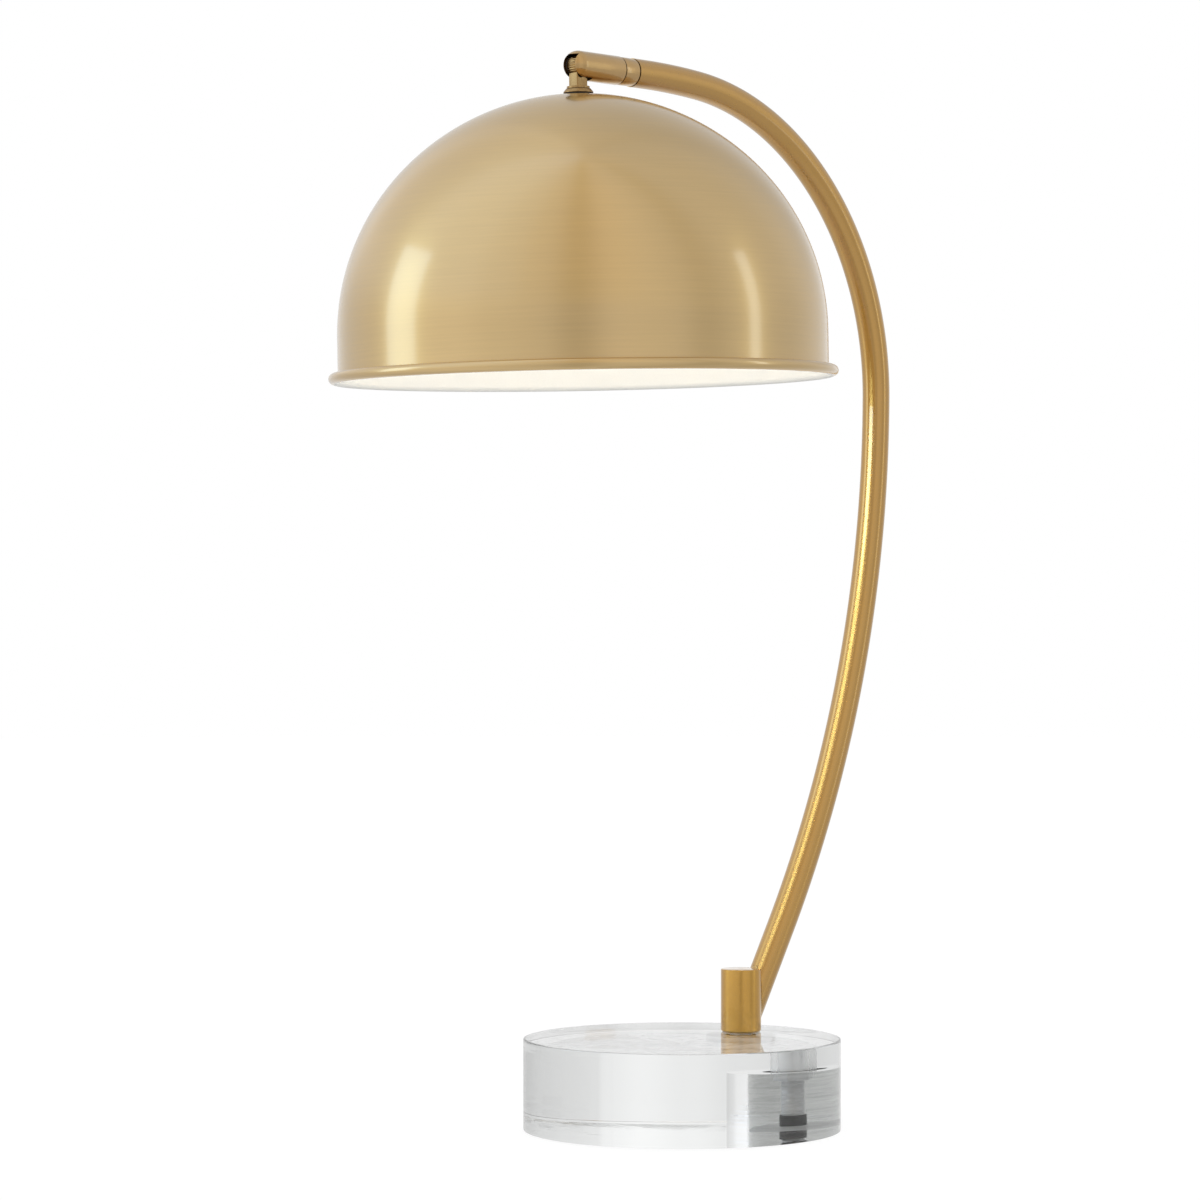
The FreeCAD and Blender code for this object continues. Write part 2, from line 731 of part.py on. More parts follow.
# Tongue: serrated eye on the pin, square stem, collar, and the hollow threaded shank through the shade
tongue = new_body("tongue")
eye_sketch = new_sketch(tongue, "YZ_Plane")
teeth = SIZES["serration_count"]
eye_corners = []
for tooth in range(2 * teeth):
    reach = size.eye_radius - (size.serration_depth if tooth % 2 else 0)
    spoke = as_size(FULL_TURN * HALF * tooth / teeth)
    eye_corners.append((reach * cosine(spoke), reach * sine(spoke)))
draw(eye_sketch, eye_corners)
extrude(tongue, "Pad", eye_sketch, size.eye_thickness, symmetric=True)
stem_sketch = new_sketch(tongue, "XY_Plane", size.stem_shoulder)
half_width, half_depth, bevel = size.stem_width * HALF, size.stem_depth * HALF, size.stem_edge_chamfer
stem_corners = []
for across, along in ((1, 1), (-1, 1), (-1, -1), (1, -1)):
    broad = (across * half_width, along * (half_depth - bevel))
    narrow = (across * (half_width - bevel), along * half_depth)
    stem_corners += [broad, narrow] if across * along > 0 else [narrow, broad]
draw(stem_sketch, stem_corners)
extrude(tongue, "Pad", stem_sketch, size.collar_level - size.stem_shoulder)
turned("tongue", [
    (0, size.collar_level),
    (size.collar_radius, size.collar_level),
    (size.collar_radius, collar_low),
    (size.shank_radius, collar_low),
    (size.shank_radius, shank_end),
    (0, shank_end),
], body=tongue)
drill(tongue, "YZ_Plane", 0, 0, size.pin_radius + size.running_fit, -size.eye_thickness,
      2 * size.eye_thickness)
drill(tongue, "XY_Plane", 0, 0, size.shank_bore, collar_low, size.shank_length + size.cut_overrun)
drill(tongue, "XY_Plane", 0, 0, size.lead_hole_radius, size.lead_hole_level,
      collar_low - size.lead_hole_level)
drill(tongue, "XZ_Plane", 0, size.lead_hole_level, size.lead_hole_radius, 0, size.stem_depth)
pieces.append(hanging(tongue))

# Crown ring and gasket, clamped between the tongue's collar and the shade
bevel_low = collar_low + size.crown_ring_bevel
pieces.append(hanging(turned("crown_ring", [
    (thread_bore, collar_low),
    (size.crown_ring_top_radius, collar_low),
    (size.crown_ring_radius, bevel_low),
    (size.crown_ring_radius, ring_low),
    (thread_bore, ring_low),
])))
pieces.append(hanging(sleeve("crown_gasket", thread_bore, size.gasket_radius, ring_low, crown_top)))

# Shade: spun dome of two arcs, flat crown, straight skirt, and a rim curled outwards into a round bead
dome_centre = derived("dome_centre", crown_top - size.crown_flat_depth + size.dome_height)
join_across, join_along = sine(size.dome_join_angle), cosine(size.dome_join_angle)
arc_spread = derived("arc_spread", (size.shade_radius - size.dome_height) / (join_across + join_along - 1))
shoulder_across = derived("shoulder_across", arc_spread * join_across)
shoulder_arc = derived("shoulder_arc", size.shade_radius - shoulder_across)
crown_arc = derived("crown_arc", size.dome_height + arc_spread * join_along)
crown_centre = derived("crown_centre", dome_centre + arc_spread * join_along)
inner_radius = size.shade_radius - size.shade_wall
inner_shoulder_arc = shoulder_arc - size.shade_wall
inner_crown_arc = crown_arc - size.shade_wall
crown_radius = third_side(crown_arc, crown_centre - crown_top)
inner_crown_radius = third_side(inner_crown_arc, crown_centre - crown_inside)
bead_level = dome_centre + size.skirt_height
bead_centre = inner_radius + size.rim_bead_radius
bead_inside = size.rim_bead_radius - size.shade_wall
curl_across, curl_along = cosine(size.rim_bead_opening), sine(size.rim_bead_opening)
pieces.append(hanging(turned("shade_shell", [
    (thread_bore, crown_top),
    (crown_radius, crown_top, Bend((0, crown_centre), crown_arc, True)),
    (crown_arc * join_across, crown_centre - crown_arc * join_along,
     Bend((shoulder_across, dome_centre), shoulder_arc, True)),
    (size.shade_radius, dome_centre),
    (size.shade_radius, bead_level, Bend((bead_centre, bead_level), bead_inside, False)),
    (bead_centre - bead_inside * curl_across, bead_level - bead_inside * curl_along),
    (bead_centre - size.rim_bead_radius * curl_across, bead_level - size.rim_bead_radius * curl_along,
     Bend((bead_centre, bead_level), size.rim_bead_radius, True)),
    (inner_radius, bead_level),
    (inner_radius, dome_centre, Bend((shoulder_across, dome_centre), inner_shoulder_arc, False)),
    (inner_crown_arc * join_across, crown_centre - inner_crown_arc * join_along,
     Bend((0, crown_centre), inner_crown_arc, False)),
    (inner_crown_radius, crown_inside),
    (thread_bore, crown_inside),
])))

# Washer and lock nut that clamp the shade from inside
pieces.append(hanging(sleeve("inner_washer", thread_bore, size.inner_washer_radius, crown_inside, nut_top)))
lock_nut = new_body("lock_nut")
nut_sketch = new_sketch(lock_nut, "XY_Plane", nut_top)
draw_hexagon(nut_sketch, size.lock_nut_flats)
draw_circle(nut_sketch, 0, 0, thread_bore)
extrude(lock_nut, "Pad", nut_sketch, size.lock_nut_thickness)
pieces.append(hanging(lock_nut))

# Socket cap: threaded hub and domed skirt
shoulder_radius = size.cap_radius - size.cap_hub_radius
shoulder_level = cap_top + size.cap_neck + shoulder_radius
cap_low = shoulder_level + size.cap_skirt
cap_inner = size.cap_radius - size.cap_wall
hub = size.cap_hub_radius
pieces.append(hanging(turned("socket_cap", [
    (thread_bore, cap_top),
    (hub, cap_top),
    (hub, cap_top + size.cap_neck, Bend((hub, shoulder_level), shoulder_radius, True)),
    (size.cap_radius, shoulder_level),
    (size.cap_radius, cap_low),
    (cap_inner, cap_low),
    (cap_inner, shoulder_level, Bend((hub, shoulder_level), shoulder_radius - size.cap_wall, False)),
    (hub, cap_top + size.cap_neck + size.cap_wall),
    (hub, cap_top + size.cap_hub_depth),
    (thread_bore, cap_top + size.cap_hub_depth),
])))

# Socket shell, insulating liner and switch core, one inside the other
holder_top = cap_low - size.holder_overlap
holder_low = holder_top + size.holder_length
liner_radius = size.holder_radius - size.holder_wall - size.side_fit
core_radius = liner_radius - size.liner_wall - size.side_fit
liner_top = holder_top + size.liner_inset
core_low = liner_top + size.core_height
key_hole = size.key_shaft_radius + size.key_hole_extra
socket_shell = sleeve("socket_shell", size.holder_radius - size.holder_wall, size.holder_radius,
                      holder_top, holder_low)
drill(socket_shell, "YZ_Plane", 0, size.key_drop, key_hole, 0, size.holder_radius + size.cut_overrun)
pieces.append(hanging(socket_shell))
socket_liner = sleeve("socket_liner", liner_radius - size.liner_wall, liner_radius, liner_top,
                      holder_low - size.liner_inset)
drill(socket_liner, "YZ_Plane", 0, size.key_drop, key_hole, 0, size.holder_radius + size.cut_overrun)
pieces.append(hanging(socket_liner))
socket_core = sleeve("socket_core", 0, core_radius, liner_top, core_low)
drill(socket_core, "YZ_Plane", 0, size.key_drop, size.key_shaft_radius + size.running_fit,
      size.key_shaft_start - size.side_fit, core_radius)
for side in (1, -1):
    drill(socket_core, "XY_Plane", 0, side * size.terminal_spacing,
          size.terminal_shank_radius + size.thread_fit, liner_top, size.terminal_shank_length
          + size.side_fit)
pieces.append(hanging(socket_core))

# Screw shell and spring contact that take the bulb
flange_under = core_low + size.screw_shell_wall
pieces.append(hanging(turned("socket_thread", [
    (size.screw_shell_mouth, core_low),
    (size.screw_shell_radius, core_low),
    (size.screw_shell_radius, core_low + size.screw_shell_length),
    (size.screw_shell_radius - size.screw_shell_wall, core_low + size.screw_shell_length),
    (size.screw_shell_radius - size.screw_shell_wall, flange_under),
    (size.screw_shell_mouth, flange_under),
])))
contact_tip = core_low + size.contact_thickness + size.contact_rise
pieces.append(hanging(turned("socket_contact", [
    (0, core_low),
    (size.contact_radius, core_low),
    (size.contact_radius, core_low + size.contact_thickness),
    (size.contact_tip_radius, contact_tip),
    (0, contact_tip),
])))

# Terminal screws on the core, and the two leads that come down the tongue to them
screws = []
leads = []
head_top = liner_top - size.terminal_head_height
for side, name in ((1, "front"), (-1, "rear")):
    screw = turned(f"terminal_screw_{name}", [
        (0, head_top),
        (size.terminal_head_radius, head_top),
        (size.terminal_head_radius, liner_top),
        (size.terminal_shank_radius, liner_top),
        (size.terminal_shank_radius, liner_top + size.terminal_shank_length),
        (0, liner_top + size.terminal_shank_length),
    ])
    # the screw stands off the head's own axis, so its place follows the head's rest tilt
    screws.append(place(
        screw, 0, pivot_place - side * size.terminal_spacing * cosine(size.rest_tilt),
        arm_height - side * size.terminal_spacing * sine(size.rest_tilt),
        axis=X_AXIS, angle=HALF_TURN + size.rest_tilt))
    lead = new_body(f"head_lead_{name}")
    path = new_sketch(lead, "YZ_Plane")
    straight_end = (liner_top - shank_end) * size.lead_bend_share
    draw(path, [
        (side * size.lead_spacing, size.lead_top),
        (side * size.lead_spacing, shank_end + straight_end),
        (side * size.lead_spread, liner_top - straight_end),
        (side * size.lead_spread, liner_top),
    ], closed=False)
    section = draw_circle(new_sketch(lead, "XY_Plane", size.lead_top), 0, side * size.lead_spacing,
                          size.lead_radius)
    doc.recompute()
    sweep = lead.newObject("PartDesign::AdditivePipe", f"head_lead_{name}_sweep")
    sweep.Profile = section
    sweep.Spine = path
    sweep.Transition = "Round corner"
    leads.append(hanging(lead))
pieces.append(group("terminal_screws", screws))
pieces.append(group("head_leads", leads))

# Bulb contact, insulator and threaded cap
bulb_top = contact_tip
tip_low = bulb_top + size.bulb_tip_height
insulator_low = tip_low + size.bulb_insulator_height
pieces.append(hanging(sleeve("bulb_contact", 0, size.bulb_tip_radius, bulb_top, tip_low)))
pieces.append(hanging(turned("bulb_insulator", [
    (0, tip_low),
    (size.bulb_tip_radius, tip_low),
    (size.bulb_insulator_radius, insulator_low - size.bulb_cap_wall),
    (size.bulb_insulator_radius, insulator_low),
    (0, insulator_low),
])))
cap_high = insulator_low
cap_end = cap_high + size.bulb_cap_length - size.bulb_insulator_height
cap_root = size.bulb_cap_radius - size.bulb_thread_depth
outer_side = [(cap_root, cap_high)]
inner_side = [(cap_root - size.bulb_cap_wall, cap_high + size.bulb_cap_wall)]
for turn in range(SIZES["bulb_thread_turns"]):
    for reach, share in zip((cap_root, size.bulb_cap_radius, size.bulb_cap_radius, cap_root),
                            THREAD_SHARES):
        level = cap_high + size.bulb_thread_pitch * (turn + share)
        outer_side.append((reach, level))
        inner_side.append((reach - size.bulb_cap_wall, level))
outer_side.append((cap_root, cap_end))
inner_side.append((cap_root - size.bulb_cap_wall, cap_end))
flange_corner = (size.bulb_insulator_radius - size.bulb_cap_wall, cap_high)
flange_inside = (size.bulb_insulator_radius - size.bulb_cap_wall, cap_high + size.bulb_cap_wall)
pieces.append(hanging(turned("bulb_cap", [flange_corner] + outer_side + inner_side[::-1]
                             + [flange_inside])))

# Bulb globe: ball on a neck, joined by a hollow shoulder, with its neck cemented in the cap
bulb_low = bulb_top + size.bulb_length
ball_centre = bulb_low - size.bulb_radius
shoulder_across = size.bulb_neck_radius + size.bulb_shoulder_radius
shoulder_reach = size.bulb_radius + size.bulb_shoulder_radius
shoulder_centre = ball_centre - third_side(shoulder_reach, shoulder_across)
ball_share = size.bulb_radius / shoulder_reach
inside_share = (size.bulb_radius - size.bulb_wall) / shoulder_reach
ball_rise = ball_centre - shoulder_centre
neck_bore = size.bulb_neck_radius - size.bulb_wall
neck_seat = cap_root - size.bulb_cap_wall - size.side_fit
neck_top = cap_end - size.bulb_neck_depth
pieces.append(hanging(turned("bulb_globe", [
    (neck_seat - size.bulb_wall, neck_top),
    (neck_seat, neck_top),
    (neck_seat, cap_end),
    (size.bulb_neck_radius, cap_end + size.bulb_wall),
    (size.bulb_neck_radius, shoulder_centre,
     Bend((shoulder_across, shoulder_centre), size.bulb_shoulder_radius, False)),
    (shoulder_across * ball_share, ball_centre - ball_rise * ball_share,
     Bend((0, ball_centre), size.bulb_radius, True)),
    (0, bulb_low),
    (0, bulb_low - size.bulb_wall, Bend((0, ball_centre), size.bulb_radius - size.bulb_wall, False)),
    (shoulder_across * inside_share, ball_centre - ball_rise * inside_share,
     Bend((shoulder_across, shoulder_centre), size.bulb_shoulder_radius + size.bulb_wall, True)),
    (neck_bore, shoulder_centre),
    (neck_bore, cap_end + size.bulb_wall),
    (neck_seat - size.bulb_wall, cap_end),
])))

# Glass stem with its flare in the neck, and the filament on it
flare_low = neck_top + size.stem_flare_thickness
press_low = flare_low + size.stem_press_length
flare_radius = neck_seat - size.bulb_wall - size.side_fit
pieces.append(hanging(turned("bulb_stem", [
    (0, neck_top),
    (flare_radius, neck_top),
    (flare_radius, flare_low),
    (size.stem_press_radius, flare_low + size.stem_cone_length),
    (size.stem_press_radius, press_low),
    (0, press_low),
])))
filament = new_body("bulb_filament")
filament_path = new_sketch(filament, "XZ_Plane")
foot, turn_out, loop = size.filament_foot_spacing, size.filament_foot_bend, size.filament_loop_radius
turn_up = loop - foot - turn_out
foot_level = press_low + size.filament_foot_length
arm_level = foot_level + turn_out
loop_level = arm_level + turn_up
draw(filament_path, [
    (-foot, press_low),
    (-foot, foot_level, Bend((-foot - turn_out, foot_level), turn_out, True)),
    (-foot - turn_out, arm_level, Bend((-foot - turn_out, loop_level), turn_up, False)),
    (-loop, loop_level, Bend((0, loop_level), loop, False)),
    (0, loop_level + loop, Bend((0, loop_level), loop, False)),
    (loop, loop_level, Bend((foot + turn_out, loop_level), turn_up, False)),
    (foot + turn_out, arm_level, Bend((foot + turn_out, foot_level), turn_out, True)),
    (foot, foot_level),
    (foot, press_low),
], closed=False)
filament_section = draw_circle(new_sketch(filament, "XY_Plane", press_low), -foot, 0,
                               size.filament_radius)
doc.recompute()
filament_sweep = filament.newObject("PartDesign::AdditivePipe", "bulb_filament_sweep")
filament_sweep.Profile = filament_section
filament_sweep.Spine = filament_path
pieces.append(hanging(filament))


def on_key_axis(item):
    """Places a piece made about Z so that its Z runs out of the socket's side, along X."""
    return place(item, 0, pivot_place + size.key_drop * sine(size.rest_tilt),
                 arm_height - size.key_drop * cosine(size.rest_tilt), axis=Y_AXIS,
                 angle=QUARTER_TURN)


# Switch key: shaft in the core and fluted knob on it
pieces.append(on_key_axis(sleeve("switch_shaft", 0, size.key_shaft_radius, size.key_shaft_start,
                                 size.key_shaft_end)))
knob_end = size.knob_start + size.knob_length
knob_edge = size.knob_edge_chamfer
switch_knob = turned("switch_knob", [
    (0, size.key_shaft_end + size.side_fit),
    (size.key_shaft_radius + size.press_fit, size.key_shaft_end + size.side_fit),
    (size.key_shaft_radius + size.press_fit, size.knob_start),
    (size.knob_radius - knob_edge, size.knob_start),
    (size.knob_radius, size.knob_start + knob_edge),
    (size.knob_radius, knob_end - knob_edge),
    (size.knob_radius - knob_edge, knob_end),
    (0, knob_end),
])
flute = drill(switch_knob, "XY_Plane", size.knob_radius + size.knob_flute_radius * HALF, 0,
              size.knob_flute_radius, size.knob_start - size.cut_overrun,
              size.knob_length + 2 * size.cut_overrun)
doc.recompute()
flutes = switch_knob.newObject("PartDesign::PolarPattern", "switch_knob_flutes")
flutes.Originals = [flute]
flutes.Axis = (flute.Profile[0], ["N_Axis"])
flutes.Angle = FULL_TURN
flutes.Occurrences = SIZES["knob_flute_count"]
flutes.setExpression("Occurrences", size.knob_flute_count.text)
switch_knob.Tip = flutes
pieces.append(on_key_axis(switch_knob))

# Nothing is written until every feature and every piece is sound
doc.recompute()
for item in doc.Objects:
    if "Invalid" in item.State or "Error" in item.State:
        raise RuntimeError(f"{item.Name} failed: {item.State} {item.getStatusString()}")
for cutter in cutters:
    if cutter.Shape.Volume >= cutter.BaseFeature.Shape.Volume:
        raise RuntimeError(f"{cutter.Name} removes nothing")
for piece in pieces:
    if piece.Shape.isNull() or not piece.Shape.isValid():
        raise RuntimeError(f"{piece.Label} is not a valid shape")
    piece.Shape.exportStep(f"parts/{piece.Label}.step")
    box = piece.Shape.BoundBox
    print(f"{piece.Label}: {len(piece.Shape.Solids)} solid, {piece.Shape.Volume / 1000:.2f} cm3, "
          f"z {box.ZMin:.1f} to {box.ZMax:.1f}")
print(f"{len(pieces)} pieces")
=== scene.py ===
# %% [markdown]
# # A brass desk lamp on a clear base
# The lamp is a thick clear disc, a short brass post, one bent brass tube, a small joint and a spun brass
# shade. Every piece sits where the measured model says, so the first step loads that model as a frame.
# Its pieces keep their names, and each dressed piece below takes the place of one of them.

# %% Load the measured model
import math

import bmesh
import bpy
from mathutils import Matrix, Vector


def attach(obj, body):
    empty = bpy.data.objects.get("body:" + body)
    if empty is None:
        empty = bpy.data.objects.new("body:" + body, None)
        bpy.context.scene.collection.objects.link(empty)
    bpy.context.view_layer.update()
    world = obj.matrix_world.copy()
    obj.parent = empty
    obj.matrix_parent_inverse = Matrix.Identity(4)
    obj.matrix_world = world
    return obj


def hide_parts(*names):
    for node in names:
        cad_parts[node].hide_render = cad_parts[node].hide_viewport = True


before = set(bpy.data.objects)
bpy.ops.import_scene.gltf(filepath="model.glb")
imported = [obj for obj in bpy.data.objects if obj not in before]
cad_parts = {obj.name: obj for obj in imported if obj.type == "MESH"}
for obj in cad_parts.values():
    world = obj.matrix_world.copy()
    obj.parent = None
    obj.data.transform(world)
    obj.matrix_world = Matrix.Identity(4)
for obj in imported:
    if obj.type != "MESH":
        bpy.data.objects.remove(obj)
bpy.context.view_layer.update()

# %% [markdown]
# ## Sizes in millimetres
# A lamp maker works in millimetres and Blender in metres, so outlines are written in millimetres and made
# small at the last step. Three places are enough to set every piece: the post's axis, the tilting pin, and
# the top of the clear block. Edges that bend more than SHARP are real edges, and points closer than WELD
# are one point.

# %% Places and directions
MM = 0.001
POST_Y, POST_RADIUS, POST_TOP = 48.5, 11.5, 87.6
BLOCK_TOP = 51.8
PIN = Vector((0.0, -81.995, 589.001))
REST_TILT = math.radians(1.46)
SHARP = math.radians(32)
WELD = 0.001
on_post = Matrix.Translation((0, POST_Y, 0))
on_arm = Matrix.Translation(PIN) @ Matrix.Rotation(math.radians(-90), 4, "X")
on_shade = Matrix.Translation(PIN) @ Matrix.Rotation(math.pi + REST_TILT, 4, "X")
upright = Matrix.Identity(4)
print("The shade hangs from", tuple(round(v, 1) for v in PIN))

# %% [markdown]
# ## Wiring nodes
# Both materials and Geometry Nodes are small machines of joined nodes. One helper adds a node, sets its
# options and plugs in either a plain number or another node's output, which keeps each recipe readable.
# The others are for the nodes that come back most: a sum, a change of range, and a named value.


# %% Helpers that add nodes
def add(tree, kind, inputs=None, **options):
    """Adds a node, sets its options, and fills its inputs with values or links."""
    node = tree.nodes.new(kind)
    for name, value in options.items():
        setattr(node, name, value)
    for key, value in (inputs or {}).items():
        if isinstance(value, bpy.types.NodeSocket):
            tree.links.new(value, node.inputs[key])
        else:
            node.inputs[key].default_value = value
    return node


def sums(tree, operation, first, second=0.0):
    """One sum on two numbers."""
    return add(tree, "ShaderNodeMath", {0: first, 1: second}, operation=operation).outputs[0]


def ranged(tree, field, low, high, new_low=0.0, new_high=1.0):
    """Maps one range of numbers to another, and stops at its ends."""
    return add(tree, "ShaderNodeMapRange",
               {0: field, 1: low, 2: high, 3: new_low, 4: new_high}).outputs[0]


def named(tree, label):
    """Reads a number that an earlier step stored under a name."""
    return add(tree, "GeometryNodeInputNamedAttribute", {"Name": label},
               data_type="FLOAT").outputs["Attribute"]


def stored(tree, shape, label, value, kind="FLOAT", domain="POINT"):
    """Stores a value on a shape under a name, for a later step or a finish."""
    return add(tree, "GeometryNodeStoreNamedAttribute",
               {"Geometry": shape, "Name": label, "Value": value},
               data_type=kind, domain=domain).outputs[0]


def empty_tree(name, sockets):
    """A Geometry Nodes tree with named inputs. It returns the tree and its inputs' outputs by name."""
    tree = bpy.data.node_groups.new(name, "GeometryNodeTree")
    tree.interface.new_socket("Geometry", in_out="OUTPUT", socket_type="NodeSocketGeometry")
    tree.interface.new_socket("Geometry", in_out="INPUT", socket_type="NodeSocketGeometry")
    for label, kind in sockets.items():
        tree.interface.new_socket(label, in_out="INPUT", socket_type=kind)
    return tree, tree.nodes.new("NodeGroupInput").outputs


# %% [markdown]
# ## A lathe made of nodes
# Most of this lamp is turned or spun: its shape is one outline carried round an axis. The tree below lays
# out a grid with a row for each point of the outline and a column for each step round, bends it into place,
# and welds the seam and the poles. It also writes a UV map, round the axis and along the outline, so that a
# brushed finish can follow the lathe's marks. A rise for each turn makes screw threads of the same outline.


# %% Build the lathe tree
def lathe_tree():
    tree, given = empty_tree("Lathe", {
        "Steps": "NodeSocketInt", "Rise": "NodeSocketFloat",
        "Outer Finish": "NodeSocketMaterial", "Inner Finish": "NodeSocketMaterial",
    })
    count = add(tree, "GeometryNodeAttributeDomainSize", {0: given["Geometry"]}).outputs["Point Count"]
    columns = add(tree, "FunctionNodeIntegerMath", {0: given["Steps"], 1: 1}, operation="ADD").outputs[0]
    grid = add(tree, "GeometryNodeMeshGrid", {"Vertices X": count, "Vertices Y": columns}).outputs["Mesh"]
    index = tree.nodes.new("GeometryNodeInputIndex").outputs[0]
    row = add(tree, "FunctionNodeIntegerMath", {0: index, 1: columns}, operation="DIVIDE_FLOOR").outputs[0]
    step = add(tree, "FunctionNodeIntegerMath", {0: index, 1: columns}, operation="MODULO").outputs[0]

    def from_outline(kind, field):
        return add(tree, "GeometryNodeSampleIndex",
                   {"Geometry": given["Geometry"], "Value": field, "Index": row},
                   data_type=kind, domain="POINT").outputs["Value"]

    place = add(tree, "ShaderNodeSeparateXYZ",
                {0: from_outline("FLOAT_VECTOR", tree.nodes.new("GeometryNodeInputPosition").outputs[0])})
    share = sums(tree, "DIVIDE", step, given["Steps"])
    angle = sums(tree, "MULTIPLY", share, math.tau)
    across = sums(tree, "MULTIPLY", place.outputs["X"], sums(tree, "COSINE", angle))
    deep = sums(tree, "MULTIPLY", place.outputs["X"], sums(tree, "SINE", angle))
    high = sums(tree, "ADD", place.outputs["Z"], sums(tree, "MULTIPLY", share, given["Rise"]))
    spot = add(tree, "ShaderNodeCombineXYZ", {0: across, 1: deep, 2: high}).outputs[0]
    chart = add(tree, "ShaderNodeCombineXYZ",
                {0: share, 1: from_outline("FLOAT", named(tree, "along"))}).outputs[0]
    chart = add(tree, "GeometryNodeFieldOnDomain", {0: chart}, data_type="FLOAT_VECTOR",
                domain="POINT").outputs[0]
    inner = add(tree, "GeometryNodeFieldOnDomain", {0: from_outline("FLOAT", named(tree, "inside"))},
                data_type="FLOAT", domain="POINT").outputs[0]
    shape = stored(tree, grid, "finish_map", chart, "FLOAT2", "CORNER")
    shape = stored(tree, shape, "inner_side", inner)
    shape = add(tree, "GeometryNodeSetPosition", {"Geometry": shape, "Position": spot}).outputs[0]
    shape = add(tree, "GeometryNodeMergeByDistance", {"Geometry": shape, "Distance": WELD}).outputs[0]
    finish_part(tree, given, shape, named(tree, "inner_side"))
    return tree


def finish_part(tree, given, shape, inner_side=None):
    """Smooth shading broken at real edges, then the finishes: the end of both shape trees."""
    bend = tree.nodes.new("GeometryNodeInputMeshEdgeAngle").outputs["Unsigned Angle"]
    sharp = add(tree, "FunctionNodeCompare", {0: bend, 1: SHARP}, operation="GREATER_THAN").outputs[0]
    shape = add(tree, "GeometryNodeSetShadeSmooth",
                {"Geometry": shape, "Shade Smooth": True}, domain="FACE").outputs[0]
    shape = add(tree, "GeometryNodeSetShadeSmooth",
                {"Geometry": shape, "Selection": sharp, "Shade Smooth": False}, domain="EDGE").outputs[0]
    shape = add(tree, "GeometryNodeRealizeInstances", {"Geometry": shape}).outputs[0]
    shape = add(tree, "GeometryNodeSetMaterial",
                {"Geometry": shape, "Material": given["Outer Finish"]}).outputs[0]
    if inner_side is not None:
        inside = add(tree, "FunctionNodeCompare", {0: inner_side, 1: 0.99}, operation="GREATER_THAN")
        shape = add(tree, "GeometryNodeSetMaterial",
                    {"Geometry": shape, "Selection": inside.outputs[0],
                     "Material": given["Inner Finish"]}).outputs[0]
    add(tree, "NodeGroupOutput", {0: shape})


lathe = lathe_tree()
print("Lathe tree:", len(lathe.nodes), "nodes")

# %% [markdown]
# ## Outlines
# Real edges are never knife-sharp, and the thin bright line on a rounded edge is what makes metal look
# real. So each outline is written with its sharp corners, and one helper rounds every corner a little.


# %% Helpers that round corners, follow arcs and turn a piece
def softened(corners, radius=0.25, steps=3):
    """Rounds the corners of a line of (radius, height[, rounding]) points. Its two ends stay sharp."""
    points = [Vector(corner[:2]) for corner in corners]
    line = [points[0]]
    for number in range(1, len(points) - 1):
        corner, size = points[number], corners[number][2] if len(corners[number]) > 2 else radius
        before, after = points[number - 1] - corner, points[number + 1] - corner
        turn = before.angle(after)
        reach = min(size / math.tan(turn / 2), 0.45 * before.length, 0.45 * after.length)
        if size <= 0 or turn > math.radians(175):
            line.append(corner)
            continue
        start, end = corner + before.normalized() * reach, corner + after.normalized() * reach
        for step in range(steps + 1):
            share = step / steps
            line.append(start * (1 - share) ** 2 + corner * 2 * share * (1 - share) + end * share ** 2)
    line.append(points[-1])
    return [tuple(point) for point in line]


def arc(centre, radius, start, end, steps):
    """Points on an arc from one angle to another, in degrees, measured from the outline's X axis."""
    angles = [math.radians(start + (end - start) * step / steps) for step in range(steps + 1)]
    return [(centre[0] + radius * math.cos(a), centre[1] + radius * math.sin(a)) for a in angles]


def looped(corners, radius=0.25, steps=3):
    """The same for a closed outline, such as a washer's: it starts and ends mid-side."""
    middle = tuple((Vector(corners[0][:2]) + Vector(corners[-1][:2])) / 2)
    return softened([middle, *corners, middle], radius, steps)


def evaluated(piece):
    """Turns what a modifier makes into the piece's own plain mesh, and removes the modifier."""
    graph = bpy.context.evaluated_depsgraph_get()
    mesh = bpy.data.meshes.new_from_object(piece.evaluated_get(graph))
    old = piece.data
    piece.modifiers.clear()
    piece.data = mesh
    bpy.data.meshes.remove(old)
    mesh.name = piece.name
    return mesh


def set_inputs(modifier, values):
    """Sets a tree's inputs by their identifiers."""
    for item in modifier.node_group.interface.items_tree:
        if item.in_out == "INPUT" and item.name in values:
            modifier[item.identifier] = values[item.name]


def placed(name, data):
    """A new object in the scene."""
    piece = bpy.data.objects.new(name, data)
    bpy.context.collection.objects.link(piece)
    return piece


def outward(mesh, close=False):
    """Points every face of a closed mesh outwards. It can close a mesh's open ends first."""
    shape = bmesh.new()
    shape.from_mesh(mesh)
    if close:
        bmesh.ops.holes_fill(shape, edges=shape.edges)
    bmesh.ops.recalc_face_normals(shape, faces=shape.faces)
    shape.to_mesh(mesh)
    shape.free()


